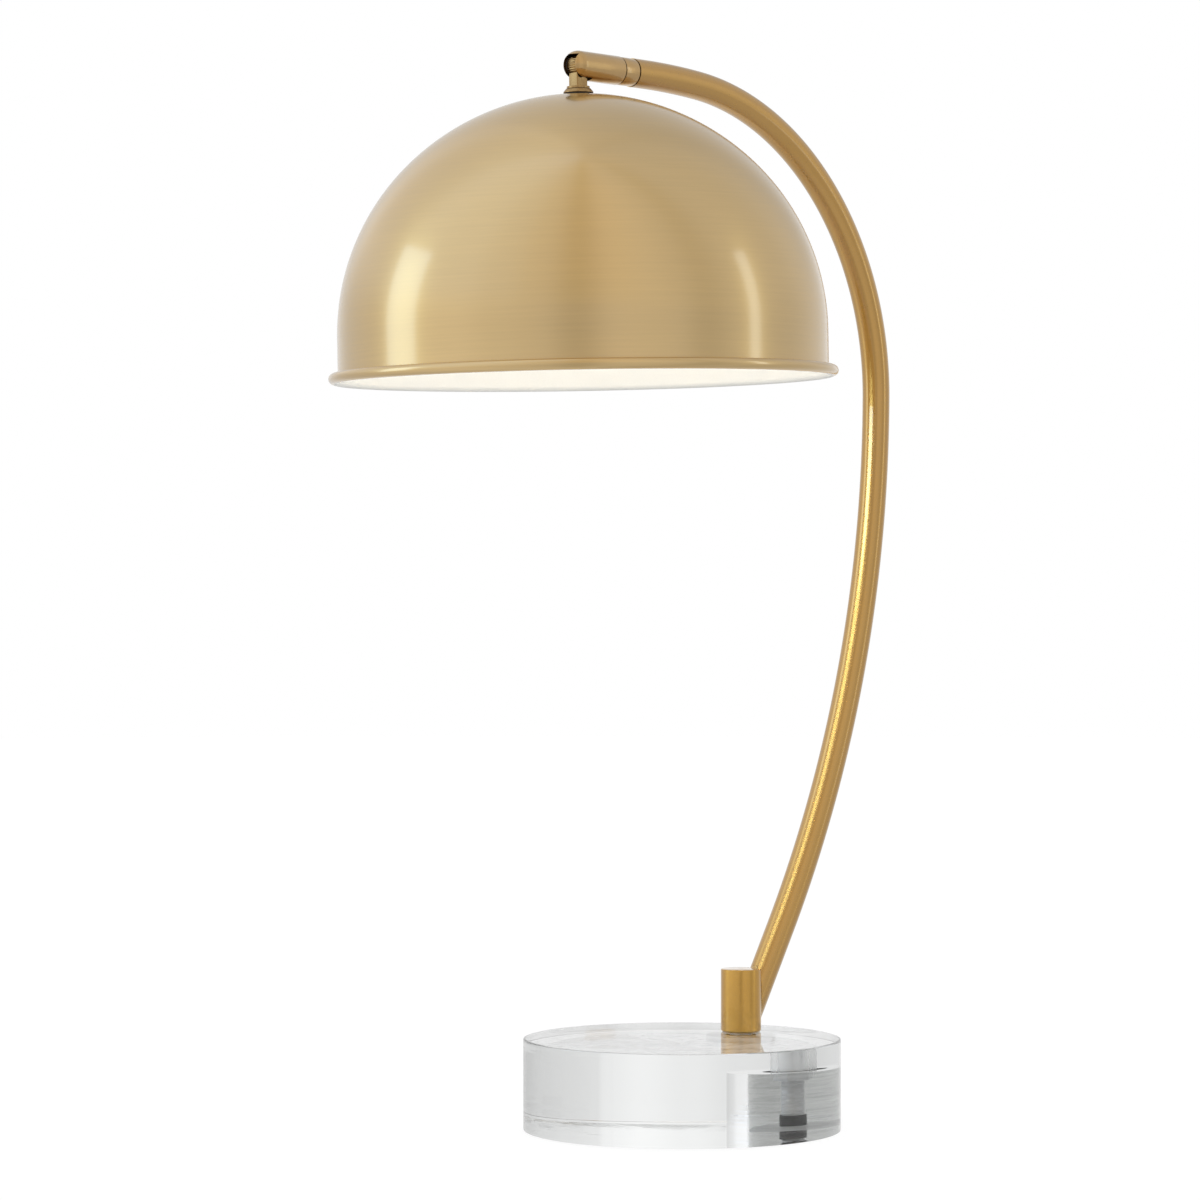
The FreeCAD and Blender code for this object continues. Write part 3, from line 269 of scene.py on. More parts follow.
def turned(name, outline, matrix, finish, inner=None, inside=(), steps=96, rise=0.0):
    """A turned piece. The numbers in inside are the outline's points that carry the inner finish."""
    mesh = bpy.data.meshes.new(name)
    mesh.from_pydata([(r, 0, z) for r, z in outline], [(i, i + 1) for i in range(len(outline) - 1)], [])
    along, length = [], 0.0
    for number, point in enumerate(outline):
        if number:
            length += (Vector(point) - Vector(outline[number - 1])).length * MM
        along.append(length)
    mesh.attributes.new("along", "FLOAT", "POINT").data.foreach_set("value", along)
    marks = [1.0 if number in inside else 0.0 for number in range(len(outline))]
    mesh.attributes.new("inside", "FLOAT", "POINT").data.foreach_set("value", marks)
    piece = placed(name, mesh)
    modifier = piece.modifiers.new("Lathe", "NODES")
    modifier.node_group = lathe
    set_inputs(modifier, {"Steps": steps, "Rise": rise, "Outer Finish": finish,
                          "Inner Finish": inner or finish})
    mesh = evaluated(piece)
    outward(mesh)
    mesh.transform(Matrix.Scale(MM, 4) @ matrix)
    return piece


print("Outline helpers are ready")

# %% [markdown]
# ## Brass
# The shade, arm and post are brass, brushed while they turned in a lathe and then lacquered. Brushing
# leaves fine lines round the axis, and a highlight spreads across such lines. So the metal is anisotropic,
# with its long direction across the lines, and a noise stretched round the axis breaks up its colour, its
# roughness and its surface. The noise is read on a circle, so it has no seam. The lacquer is the shader's
# coat: a little haze in it softens the soft boxes' edges on the shade.


# %% Brushed brass
def metal(name, colour, roughness, **sockets):
    """A metal whose plain sockets are set on the shader itself. It returns the material and the shader."""
    material = bpy.data.materials.new(name)
    material.use_nodes = True
    shader = material.node_tree.nodes["Principled BSDF"]
    shader.inputs["Base Color"].default_value = (*colour, 1)
    shader.inputs["Metallic"].default_value = 1.0
    shader.inputs["Roughness"].default_value = roughness
    for label, value in sockets.items():
        shader.inputs[label.replace("_", " ")].default_value = value
    return material, shader


def lathe_lines(tree, along, detail, around=2.0):
    """Fine lines round the piece: a noise on a circle, stretched round it and packed along it."""
    chart = add(tree, "ShaderNodeUVMap", uv_map="finish_map").outputs[0]
    place = add(tree, "ShaderNodeSeparateXYZ", {0: chart})
    turn = sums(tree, "MULTIPLY", place.outputs[0], math.tau)
    spot = add(tree, "ShaderNodeCombineXYZ", {
        0: sums(tree, "MULTIPLY", sums(tree, "COSINE", turn), around),
        1: sums(tree, "MULTIPLY", sums(tree, "SINE", turn), around),
        2: sums(tree, "MULTIPLY", place.outputs[1], along),
    }).outputs[0]
    return add(tree, "ShaderNodeTexNoise", {"Vector": spot, "Scale": 1.0, "Detail": detail,
                                            "Roughness": 0.65}).outputs[0]


def spread(tree, field, low, high):
    """Maps a noise's middle range to a range of values."""
    return ranged(tree, field, 0.3, 0.7, low, high)


def broken_up(tree, shader, colour, tone, roughness, field, depth, strength=0.3):
    """Lets fields change a finish's colour and roughness, and raise its surface by a depth in metres."""
    colour = add(tree, "ShaderNodeVectorMath", {0: colour, 1: tone}, operation="MULTIPLY")
    bump = add(tree, "ShaderNodeBump", {"Height": field, "Strength": strength, "Distance": depth})
    tree.links.new(colour.outputs[0], shader.inputs["Base Color"])
    tree.links.new(roughness, shader.inputs["Roughness"])
    tree.links.new(bump.outputs[0], shader.inputs["Normal"])


def brushed_brass(name, colour, roughness, along, contrast, anisotropy=0.6, depth=0.000002,
                  lacquer=1.5, haze=0.06):
    """Brass with lines round its axis, packed along it, under a coat of lacquer."""
    material, shader = metal(name, colour, roughness, Anisotropic=anisotropy, Anisotropic_Rotation=0.25,
                             Coat_Weight=1.0, Coat_Roughness=haze, Coat_IOR=lacquer)
    shader.inputs["Specular Tint"].default_value = (1.0, 0.97, 0.9, 1)
    tree = material.node_tree
    fine = lathe_lines(tree, along, 3.0)
    broad = lathe_lines(tree, 0.05 * along, 2.0, 1.4)
    tone = sums(tree, "MULTIPLY", spread(tree, fine, 1 - contrast, 1 + contrast),
                spread(tree, broad, 1 - 0.5 * contrast, 1 + 0.5 * contrast))
    broken_up(tree, shader, colour, tone, spread(tree, fine, roughness - 0.03, roughness + 0.03),
              fine, depth)
    tangent = add(tree, "ShaderNodeTangent", direction_type="UV_MAP", uv_map="finish_map")
    tree.links.new(tangent.outputs[0], shader.inputs["Tangent"])
    return material


shade_brass = brushed_brass("shade_brass", (0.61, 0.385, 0.095), 0.32, 700.0, 0.035, depth=0.000004,
                            lacquer=2.3, haze=0.14)
post_brass = brushed_brass("post_brass", (0.61, 0.335, 0.055), 0.22, 1500.0, 0.03, anisotropy=0.92)
arm_brass = brushed_brass("arm_brass", (0.565, 0.32, 0.08), 0.30, 600.0, 0.03, anisotropy=0.9,
                          depth=0.0000003)
joint_brass = brushed_brass("joint_brass", (0.56, 0.35, 0.13), 0.24, 1800.0, 0.04)
print("Brass finishes: 4")

# %% [markdown]
# ## Steel, paint, plastic and glass
# The small metal parts are plated steel with a faint grain. The inside of the shade is sprayed matt white.
# The block is cast acrylic, clear and polished, and a slow ripple in its surface bends reflections a
# little, as casting leaves it. Its well is left as the cutter leaves it, grey with fine rings, and its
# narrow hole is frosted. Each finish reads the piece's own coordinates, so it moves with the piece.


# %% The other finishes
def speckle(tree, scale, detail, stretch):
    """A noise on the piece's own coordinates, stretched along its axes."""
    spot = add(tree, "ShaderNodeTexCoord").outputs["Object"]
    spot = add(tree, "ShaderNodeMapping", {"Vector": spot, "Scale": stretch}).outputs[0]
    return add(tree, "ShaderNodeTexNoise", {"Vector": spot, "Scale": scale, "Detail": detail}).outputs[0]


def grainy(material, shader, colour, scale, contrast, rough):
    """Breaks up a finish's colour, roughness and surface with one even noise."""
    tree = material.node_tree
    noise = speckle(tree, scale, 3.0, (1, 1, 1))
    broken_up(tree, shader, colour, spread(tree, noise, 1 - contrast, 1 + contrast),
              spread(tree, noise, *rough), noise, 0.00003)
    return material


def plated(name, colour, roughness, scale, contrast, rough):
    """A grainy metal."""
    return grainy(*metal(name, colour, roughness), colour, scale, contrast, rough)


def plain(name, colour, scale, contrast, rough, **sockets):
    """A grainy finish that isn't metal."""
    material, shader = metal(name, colour, rough[0], **{"Metallic": 0.0, **sockets})
    return grainy(material, shader, colour, scale, contrast, rough)


steel = plated("steel", (0.56, 0.55, 0.53), 0.3, 900.0, 0.08, (0.24, 0.36))
holder_brass = plated("holder_brass", (0.70, 0.48, 0.20), 0.3, 600.0, 0.06, (0.25, 0.35))
tongue_brass = plated("tongue_brass", (0.38, 0.24, 0.10), 0.25, 800.0, 0.08, (0.2, 0.3))
# A near-black brass for the ring's ends, the knuckle's end, the slot's cut walls and the crown ring's ends:
# painted shade in these seams and in the slot.
painted_gap_shade = plated("painted_gap_shade", (0.10, 0.055, 0.025), 0.5, 900.0, 0.1, (0.5, 0.65))
zinc = plated("zinc", (0.86, 0.86, 0.87), 0.3, 900.0, 0.06, (0.3, 0.42))
cap_metal = plated("cap_metal", (0.66, 0.66, 0.67), 0.3, 700.0, 0.05, (0.28, 0.4))
white_paint = plain("white_paint", (0.87, 0.86, 0.82), 1200.0, 0.015, (0.45, 0.6))
black_plastic = plain("black_plastic", (0.022, 0.021, 0.02), 2500.0, 0.2, (0.35, 0.5))
dark_nylon = plain("dark_nylon", (0.05, 0.047, 0.043), 2000.0, 0.15, (0.4, 0.55))
rubber = plain("gasket_rubber", (0.02, 0.02, 0.02), 1500.0, 0.2, (0.65, 0.8))
card = plain("liner_card", (0.16, 0.12, 0.085), 1500.0, 0.2, (0.8, 0.95))
jacket = plain("cable_jacket", (0.52, 0.47, 0.37), 300.0, 0.05, (0.4, 0.5))
glaze = plain("bulb_glaze", (0.02, 0.02, 0.024), 800.0, 0.2, (0.08, 0.15))
pad_sheet = plain("clear_pad", (0.93, 0.94, 0.94), 700.0, 0.03, (0.3, 0.4), Transmission_Weight=0.9,
                  IOR=1.45)


def clear(name, colour, height, scale, roughness, ior=1.49, stretch=(1, 1, 1), contrast=0.005):
    """Clear cast, cut or blown stuff: full transmission, and a ripple in its surface."""
    material, shader = metal(name, colour, roughness, Metallic=0.0, Transmission_Weight=1.0, IOR=ior)
    tree = material.node_tree
    noise = speckle(tree, scale, 1.5, stretch)
    broken_up(tree, shader, colour, spread(tree, noise, 1 - contrast, 1.0),
              spread(tree, noise, 0.0, roughness), noise, height, 0.5)
    return material


acrylic = clear("clear_acrylic", (0.99, 1.0, 0.995), 0.0001, 22.0, 0.01)
drilled = clear("drilled_acrylic", (0.60, 0.61, 0.60), 0.0002, 900.0, 0.12, stretch=(0.03, 0.03, 1.0),
                contrast=0.3)
bored = clear("bored_acrylic", (0.98, 0.99, 0.98), 0.00001, 30.0, 1.0, stretch=(0.3, 0.3, 0.3),
              contrast=0.02)
bulb_glass = clear("bulb_glass", (1.0, 1.0, 0.99), 0.0001, 60.0, 0.01, ior=1.5)
tungsten, glow = metal("tungsten", (0.5, 0.4, 0.3), 0.5)
glow.inputs["Emission Color"].default_value = (1.0, 0.72, 0.42, 1)
glow.inputs["Emission Strength"].default_value = 20.0
print("Finishes:", len(bpy.data.materials))

# %% [markdown]
# ## The shade
# A flat disc of brass is spun over a former: a flat crown for the fittings, a dome a little lower than a
# hemisphere, a short straight skirt, and a rim curled outwards into a bead, which stiffens the edge and
# hides its cut. The former is turned with two radii, a wide one for the top and a smaller one for the
# shoulder. One closed outline holds both faces of the sheet and the curl, and the lathe carries it round.
# The white paint of the inside ends a quarter of a turn down the bead, where the masking tape held it off.

# %% Spin the shade
SHEET = 0.8
DOME_RADIUS, DOME_HEIGHT, DOME_DROP = 134.2, 131.4, 147.4
CROWN_DROP, HOLE = 17.2, 5.05
RIM_DROP, BEAD = 169.5, 3.0
LIP_STEPS, ARC_STEPS, PAINTED_STEPS = 28, 28, 8
shift = (DOME_RADIUS - DOME_HEIGHT) / (math.sqrt(2) - 1) / math.sqrt(2)
top_arc = ((0, DOME_DROP + shift), DOME_HEIGHT + shift)
shoulder_arc = ((shift, DOME_DROP), DOME_RADIUS - shift)
bead_place = (DOME_RADIUS - SHEET + BEAD, RIM_DROP)


def dome_face(inset):
    """One face of the dome, from the crown's edge to the widest place."""
    (_, top_level), top_radius = top_arc
    crown_level = CROWN_DROP + inset
    start = -math.degrees(math.asin((top_level - crown_level) / (top_radius - inset)))
    return (arc(top_arc[0], top_radius - inset, start, -45, ARC_STEPS)
            + arc(shoulder_arc[0], shoulder_arc[1] - inset, -45, 0, ARC_STEPS)[1:])


shade_line = softened(
    [(HOLE, CROWN_DROP + SHEET / 2), (HOLE, CROWN_DROP)] + dome_face(0)
    + arc(bead_place, BEAD - SHEET, 180, -130, LIP_STEPS), 0.1, 1)
shade_line += arc(bead_place, BEAD, -130, 180, LIP_STEPS)
painted_from = len(shade_line) - 1 - PAINTED_STEPS
shade_line += dome_face(SHEET)[::-1] + [(HOLE, CROWN_DROP + SHEET), (HOLE, CROWN_DROP + SHEET / 2)]
shade = turned("spun_shade", shade_line, on_shade, shade_brass, white_paint,
               range(painted_from, len(shade_line) - 1), steps=224)
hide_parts("shade_shell")
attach(shade, "head")
print("Shade:", len(shade.data.polygons), "faces")

# %% [markdown]
# ## The bent tube
# The arm is one tube, bent on three dies of different radius. A second tree carries a round section along
# a line, as a tube bender does. The section is an open arc of a full turn, so that its map has a clean
# seam, and the seam is welded after it. The bore is the same sweep with a smaller radius, taken away.


# %% Build the sweep tree
def sweep_tree():
    tree, given = empty_tree("Sweep", {
        "Radius": "NodeSocketFloat", "Around": "NodeSocketInt", "Outer Finish": "NodeSocketMaterial",
    })
    line = add(tree, "GeometryNodeMeshToCurve", {0: given["Geometry"]}).outputs[0]
    length = tree.nodes.new("GeometryNodeSplineParameter").outputs["Length"]
    line = stored(tree, line, "along", length)
    points = add(tree, "FunctionNodeIntegerMath", {0: given["Around"], 1: 1}, operation="ADD").outputs[0]
    ring = add(tree, "GeometryNodeCurveArc",
               {"Resolution": points, "Radius": given["Radius"], "Start Angle": 0.0,
                "Sweep Angle": math.tau}, mode="RADIUS").outputs["Curve"]
    share = tree.nodes.new("GeometryNodeSplineParameter").outputs["Factor"]
    ring = stored(tree, ring, "share", share)
    tube = add(tree, "GeometryNodeCurveToMesh", {"Curve": line, "Profile Curve": ring}).outputs[0]
    chart = add(tree, "ShaderNodeCombineXYZ", {0: named(tree, "share"), 1: named(tree, "along")})
    tube = stored(tree, tube, "finish_map", chart.outputs[0], "FLOAT2", "CORNER")
    tube = add(tree, "GeometryNodeMergeByDistance", {"Geometry": tube, "Distance": WELD * MM})
    finish_part(tree, given, tube.outputs[0])
    return tree


sweep = sweep_tree()
print("Sweep tree:", len(sweep.nodes), "nodes")

# %% [markdown]
# ## The tube's centre line
# The tube leans back by 30 degrees from the post, bends slowly forward, then quickly over the top, and ends
# level. Walking along it with a heading, straight or turning, gives the same line that the bender follows.


# %% Walk the centre line
TUBE_RADIUS, TUBE_WALL, TUBE_END = 8.0, 1.5, -40.595
FOOT_LEAN, FOOT_RUN = math.radians(30), 66.4
BENDS = [(625.0, 29.6, 40), (169.0, 85.0, 64), (480.0, 5.4, 8)]


def centre_line(start=0.0, extra=0.0):
    """The centre line as (x, y, z) points, from a distance along the foot to the level end."""
    y, z, heading = POST_Y, BLOCK_TOP, FOOT_LEAN
    line = [(0, y + s * math.sin(heading), z + s * math.cos(heading))
            for s in (start, 20.0, 40.0, FOOT_RUN)]
    _, y, z = line[-1]
    for radius, turn, steps in BENDS:
        centre = (y - radius * math.cos(heading), z + radius * math.sin(heading))
        first = heading
        for step in range(1, steps + 1):
            heading = first - math.radians(turn) * step / steps
            y, z = centre[0] + radius * math.cos(heading), centre[1] - radius * math.sin(heading)
            line.append((0, y, z))
    line.append((0, TUBE_END - extra, PIN.z))
    return line


def swept(name, line, radius, finish, around):
    """A round section carried along a line of points in millimetres, closed at both ends."""
    mesh = bpy.data.meshes.new(name)
    mesh.from_pydata(line, [(i, i + 1) for i in range(len(line) - 1)], [])
    mesh.transform(Matrix.Scale(MM, 4))
    piece = placed(name, mesh)
    modifier = piece.modifiers.new("Sweep", "NODES")
    modifier.node_group = sweep
    set_inputs(modifier, {"Radius": radius * MM, "Around": around, "Outer Finish": finish})
    outward(evaluated(piece), close=True)
    return piece


def combine(piece, operation, *tools):
    """Cuts tools from a piece or joins them to it, then marks the sharp edges. The tools are used up."""
    for tool in tools:
        cut = piece.modifiers.new("Cut", "BOOLEAN")
        cut.operation, cut.solver, cut.object, cut.material_mode = operation, "EXACT", tool, "TRANSFER"
        evaluated(piece)
        bpy.data.objects.remove(tool)
    piece.data.set_sharp_from_angle(angle=SHARP)


def edges_broken(piece, width):
    """Rounds every real edge of a piece by a width in millimetres, with its first finish."""
    bevel = piece.modifiers.new("Bevel", "BEVEL")
    bevel.width, bevel.segments, bevel.limit_method = width * MM, 2, "ANGLE"
    bevel.angle_limit, bevel.material = SHARP, 0
    evaluated(piece)
    piece.data.set_sharp_from_angle(angle=SHARP)


def rod(name, radius, low, high, matrix, finish, steps=64):
    """A plain round tool or pin between two heights."""
    return turned(name, [(0, low), (radius, low), (radius, high), (0, high)], matrix, finish, steps=steps)


INLET_AT, INLET_RADIUS, COPE_RADIUS = 46.0, 3.65, 11.52
inlet_place = (Matrix.Translation((0, POST_Y + INLET_AT * math.sin(FOOT_LEAN),
                                   BLOCK_TOP + INLET_AT * math.cos(FOOT_LEAN)))
               @ Matrix.Rotation(-math.pi / 2 - FOOT_LEAN, 4, "X"))
arm = swept("bent_arm", centre_line(), TUBE_RADIUS, arm_brass, 64)
bore = swept("bore_tool", centre_line(-5.0, 5.0), TUBE_RADIUS - TUBE_WALL, arm_brass, 40)
cope = rod("cope_tool", COPE_RADIUS, 30, POST_TOP, on_post, arm_brass, 128)
inlet = rod("inlet_tool", INLET_RADIUS, 0, 20, inlet_place, arm_brass)
combine(arm, "DIFFERENCE", bore, cope, inlet)
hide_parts("arm_tube")
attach(arm, "stand")
print("Arm:", len(arm.data.polygons), "faces")

# %% [markdown]
# ## The brazed joint
# The tube's foot is coped to the post's round side and brazed. The filler leaves a small hollow fillet all
# the way round. Its line is where the two cylinders meet, so each point is worked out from both, and a
# small four-cornered section is carried round that line.


# %% Run a fillet round the joint
def fillet(name, width, steps=96, hollow=0.62, depth=0.6):
    """A ring of filler. Its face is hollow, and its back lies a depth inside both pieces."""
    foot = Vector((0, POST_Y, BLOCK_TOP))
    lean = Vector((0, math.sin(FOOT_LEAN), math.cos(FOOT_LEAN)))
    side = Vector((0, math.cos(FOOT_LEAN), -math.sin(FOOT_LEAN)))
    shape = bmesh.new()
    rings = []
    for step in range(steps):
        angle = math.tau * step / steps
        out = Vector((math.cos(angle), 0, 0)) + side * math.sin(angle)
        reach = (math.sqrt(POST_RADIUS ** 2 - (TUBE_RADIUS * out.x) ** 2) - TUBE_RADIUS * out.y) / lean.y
        meet = foot + lean * reach + out * TUBE_RADIUS
        normal = Vector((meet.x, meet.y - POST_Y, 0)).normalized()
        away = (out - normal * out.dot(normal)).normalized()
        on_tube = meet + lean * width
        on_side = meet + away * width
        flat = Vector((on_side.x, on_side.y - POST_Y, 0)).normalized() * POST_RADIUS
        on_side = Vector((flat.x, flat.y + POST_Y, min(on_side.z, POST_TOP - 0.3)))
        middle = (on_tube + on_side) / 2 * hollow + meet * (1 - hollow)
        buried = meet - normal * depth - out * depth
        buried.z = min(buried.z, POST_TOP - 0.5)
        rings.append([shape.verts.new(corner * MM) for corner in (on_tube, middle, on_side, buried)])
    for number, ring in enumerate(rings):
        following = rings[(number + 1) % steps]
        for corner in range(4):
            after = (corner + 1) % 4
            face = shape.faces.new((ring[corner], ring[after], following[after], following[corner]))
            face.smooth = True
    bmesh.ops.recalc_face_normals(shape, faces=shape.faces)
    mesh = bpy.data.meshes.new(name)
    shape.to_mesh(mesh)
    shape.free()
    return placed(name, mesh)


braze = fillet("braze_fillet", 1.5)
braze.data.materials.append(holder_brass)
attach(braze, "stand")
print("Braze fillet:", len(braze.data.polygons), "faces")

# %% [markdown]
# ## Post, block and rod
# The post is a short turned bar. The block is a turned and polished disc with a narrow hole under the post
# and a wide well below it, which the clear stuff shows bent and stretched. The rod through both has a
# real thread in the well: its outline is one row of teeth, and the lathe lifts it by one tooth in each
# turn. Above the well the rod is plain.

# %% Turn the post, the block and the rod
post = turned("turned_post", softened([
    (0, BLOCK_TOP), (POST_RADIUS - 1.0, BLOCK_TOP), (POST_RADIUS, BLOCK_TOP + 1.0),
    (POST_RADIUS, POST_TOP - 0.4), (POST_RADIUS - 0.4, POST_TOP), (0, POST_TOP)], 0.2),
    on_post, post_brass)
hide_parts("post")
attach(post, "stand")

BLOCK_RADIUS, BLOCK_FOOT = 88.9, 1.0
WELL_RADIUS, WELL_ROOF, NARROW_RADIUS = 19.8, 33.0, 6.4
block = turned("clear_block", softened([
    (0, BLOCK_FOOT), (87.0, BLOCK_FOOT, 0), (BLOCK_RADIUS, BLOCK_FOOT, 0.3), (BLOCK_RADIUS, 2.8, 0),
    (BLOCK_RADIUS, 50.0, 0), (BLOCK_RADIUS, BLOCK_TOP, 0.8), (87.0, BLOCK_TOP, 0), (0, BLOCK_TOP)],
    0.8, 4), upright, acrylic, steps=288)
well = turned("well_tool", [
    (0, -4.0), (WELL_RADIUS, -4.0), (WELL_RADIUS, WELL_ROOF), (NARROW_RADIUS, WELL_ROOF),
    (NARROW_RADIUS, 60.0), (0, 60.0)], on_post, drilled, bored, (3, 4), steps=128)
combine(block, "DIFFERENCE", well)
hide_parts("base_block")
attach(block, "stand")

PITCH, ROD_RADIUS, TOOTH, ROD_FOOT, ROD_TOP, TEETH = 1.0, 5.1, 0.45, 2.4, 65.4, 59
teeth = [(ROD_RADIUS - TOOTH * (half % 2), ROD_FOOT + 0.5 * PITCH * half) for half in range(TEETH)]
rod_piece = turned("threaded_rod", teeth + [(ROD_RADIUS, ROD_TOP)], on_post, zinc, steps=48, rise=PITCH)
outward(rod_piece.data, close=True)
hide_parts("base_rod")
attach(rod_piece, "stand")
print("Block:", len(block.data.polygons), "faces; rod:", len(rod_piece.data.polygons), "faces")

# %% [markdown]
# ## The joint at the end of the arm
# A loose ring and a knuckle sit on the tube's end with a fine seam on each side of the ring. The knuckle
# has a domed end, and a slot for the tongue that carries the shade. Their edges are broken by a file, so
# they are rounded here. The faces that meet in the seams and the cut walls of the slot are painted
# near-black:
# that is painted shade in the seams and the slot.

# %% Turn the ring and the knuckle, and cut the slot
RING_BORE, RING_RADIUS, RING_LOW, RING_HIGH = 5.55, 7.75, 30.3, 41.1
ring_line = looped([(RING_BORE, RING_LOW), (RING_RADIUS, RING_LOW, 0.4), (RING_RADIUS, 35.7, 0),
                    (RING_RADIUS, RING_HIGH, 0.35), (RING_BORE, RING_HIGH)], 0.1)
# These end faces of the ring carry the painted shade of its two seams.
ends = [number for number, (r, z) in enumerate(ring_line) if z < RING_LOW + 0.45 or z > RING_HIGH - 0.36]
ring = turned("swivel_ring_turned", ring_line, on_arm, joint_brass, painted_gap_shade, ends)
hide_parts("swivel_ring")
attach(ring, "stand")

KNUCKLE_RADIUS, KNUCKLE_END = 8.0, 30.0
knuckle_line = (arc((0, 0), KNUCKLE_RADIUS, -90, 0, 20)
                + softened([(KNUCKLE_RADIUS, 0.0), (KNUCKLE_RADIUS, 1.0, 0), (KNUCKLE_RADIUS, 15.0, 0),
                            (KNUCKLE_RADIUS, KNUCKLE_END, 0.25), (0, KNUCKLE_END)], 0.15))
# The knuckle's end face at the seam carries painted shade.
ends = [number for number, (r, z) in enumerate(knuckle_line) if z > KNUCKLE_END - 0.3]
knuckle = turned("knuckle_body", knuckle_line, on_arm, joint_brass, painted_gap_shade, ends)


def box_tool(name, low, high, matrix):
    """A plain box to cut with, between two corners in millimetres."""
    mesh = bpy.data.meshes.new(name)
    shape = bmesh.new()
    bmesh.ops.create_cube(shape, size=1.0)
    size, middle = Vector(high) - Vector(low), (Vector(high) + Vector(low)) / 2
    bmesh.ops.transform(shape, verts=shape.verts, matrix=Matrix.Scale(MM, 4) @ matrix
                        @ Matrix.Translation(middle) @ Matrix.Diagonal((*size, 1)))
    shape.to_mesh(mesh)
    shape.free()
    return placed(name, mesh)


# The slot, the bearing's hole and the blind hole of the pin, measured from the pin. Tools reach past the
# knuckle where they come in from outside.
SLOT_HALF, SLOT_FLOOR, SLOT_BACK, OUTSIDE = 4.5, 7.0, -5.7, 16.0
BEARING_FOOT, BEARING_BEYOND = 19.0, 35.0
PIN_HOLE, PIN_HOLE_END, PIN_BEYOND = 2.02, 6.2, -20.0
sideways = Matrix.Translation(PIN) @ Matrix.Rotation(math.pi / 2, 4, "Y")
slot_tool = box_tool("slot_tool", (-SLOT_HALF, SLOT_BACK, -OUTSIDE), (SLOT_HALF, OUTSIDE, SLOT_FLOOR),
                     on_arm)
# The slot's cut walls take the painted shade from this tool.
slot_tool.data.materials.append(painted_gap_shade)
bearing = rod("bearing_tool", RING_BORE, BEARING_FOOT, BEARING_BEYOND, on_arm, joint_brass)
pin_hole = rod("pin_hole_tool", PIN_HOLE, PIN_BEYOND, PIN_HOLE_END, sideways, joint_brass)
combine(knuckle, "DIFFERENCE", slot_tool, bearing, pin_hole)
edges_broken(knuckle, 0.4)
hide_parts("knuckle")
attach(knuckle, "knuckle")
print("Knuckle:", len(knuckle.data.polygons), "faces")

# %% [markdown]
# ## The fittings on the crown
# Under the tongue's collar a bevelled ring presses on a thin gasket, and both clamp the crown. They are
# seen edge on, so only their rims and the dark joint between them count. The gasket is black rubber, and
# the ring's faces at both its joints are painted near-black, as painted shade in the joints.

# %% Turn the crown ring
CROWN_BORE, CROWN_RADIUS, CROWN_LOW, CROWN_HIGH = 5.05, 8.2, 12.9, 15.3
crown_line = looped([(CROWN_BORE, CROWN_LOW), (6.8, CROWN_LOW, 0.15), (7.08, 13.24, 0),
                     (CROWN_RADIUS, 14.6, 0.25), (CROWN_RADIUS, 15.05, 0), (CROWN_RADIUS, CROWN_HIGH, 0.1),
                     (CROWN_BORE, CROWN_HIGH)], 0.1)
# The ring's two end faces carry the near-black painted shade of the joints.
joint_shade_points = [number for number, (r, z) in enumerate(crown_line) if z < CROWN_LOW + 0.4 or z > CROWN_HIGH - 0.3]
crown_ring = turned("crown_ring_turned", crown_line, on_shade, tongue_brass, painted_gap_shade, joint_shade_points)
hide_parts("crown_ring")
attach(crown_ring, "head")
print("Crown ring:", len(crown_ring.data.polygons), "faces")

# %% [markdown]
# ## Finishes on the pieces that keep their measured shape
# The small parts inside the shade and the block keep the shapes of the measured model, which are already
# right. They need only their real finishes, and those that can be seen also get their edges broken.

# %% Break the edges of the pieces that show
SHOWN = {
    "tongue": (tongue_brass, 0.15, "head", "joint_brass"),
    "base_washer": (white_paint, 0.2, "stand", "steel"),
    "base_nut": (zinc, 0.3, "stand", "steel"),
    "rod_cap": (black_plastic, 0.4, "stand", "black_plastic"),
    "cord_bushing": (black_plastic, 0.3, "stand", "black_plastic"),
    "crown_gasket": (rubber, 0.15, "head", "gasket_rubber"),
    "inner_washer": (steel, 0.15, "head", "steel"),
    "lock_nut": (steel, 0.25, "head", "steel"),
    "socket_cap": (holder_brass, 0.3, "head", "socket_brass"),
    "switch_knob": (black_plastic, 0.4, "switch_key", "black_plastic"),
    "tilt_pin": (steel, 0.2, "knuckle", "steel"),
}


def with_broken_edges(node, finish, width, body, slot):
    """A copy of a measured piece, welded, with its edges broken and its real finish."""
    piece = placed(node + "_dressed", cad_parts[node].data.copy())
    shape = bmesh.new()
    shape.from_mesh(piece.data)
    bmesh.ops.remove_doubles(shape, verts=shape.verts, dist=WELD * MM)
    bmesh.ops.dissolve_limit(shape, angle_limit=math.radians(1), verts=shape.verts, edges=shape.edges)
    for face in shape.faces:
        face.smooth, face.material_index = True, 0
    shape.to_mesh(piece.data)
    shape.free()
    piece.data.materials.clear()
    piece.data.materials.append(finish)
    edges_broken(piece, width)
    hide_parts(node)
    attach(piece, body)
    return piece


for node, facts in SHOWN.items():
    print(node, len(with_broken_edges(node, *facts).data.polygons), "faces")

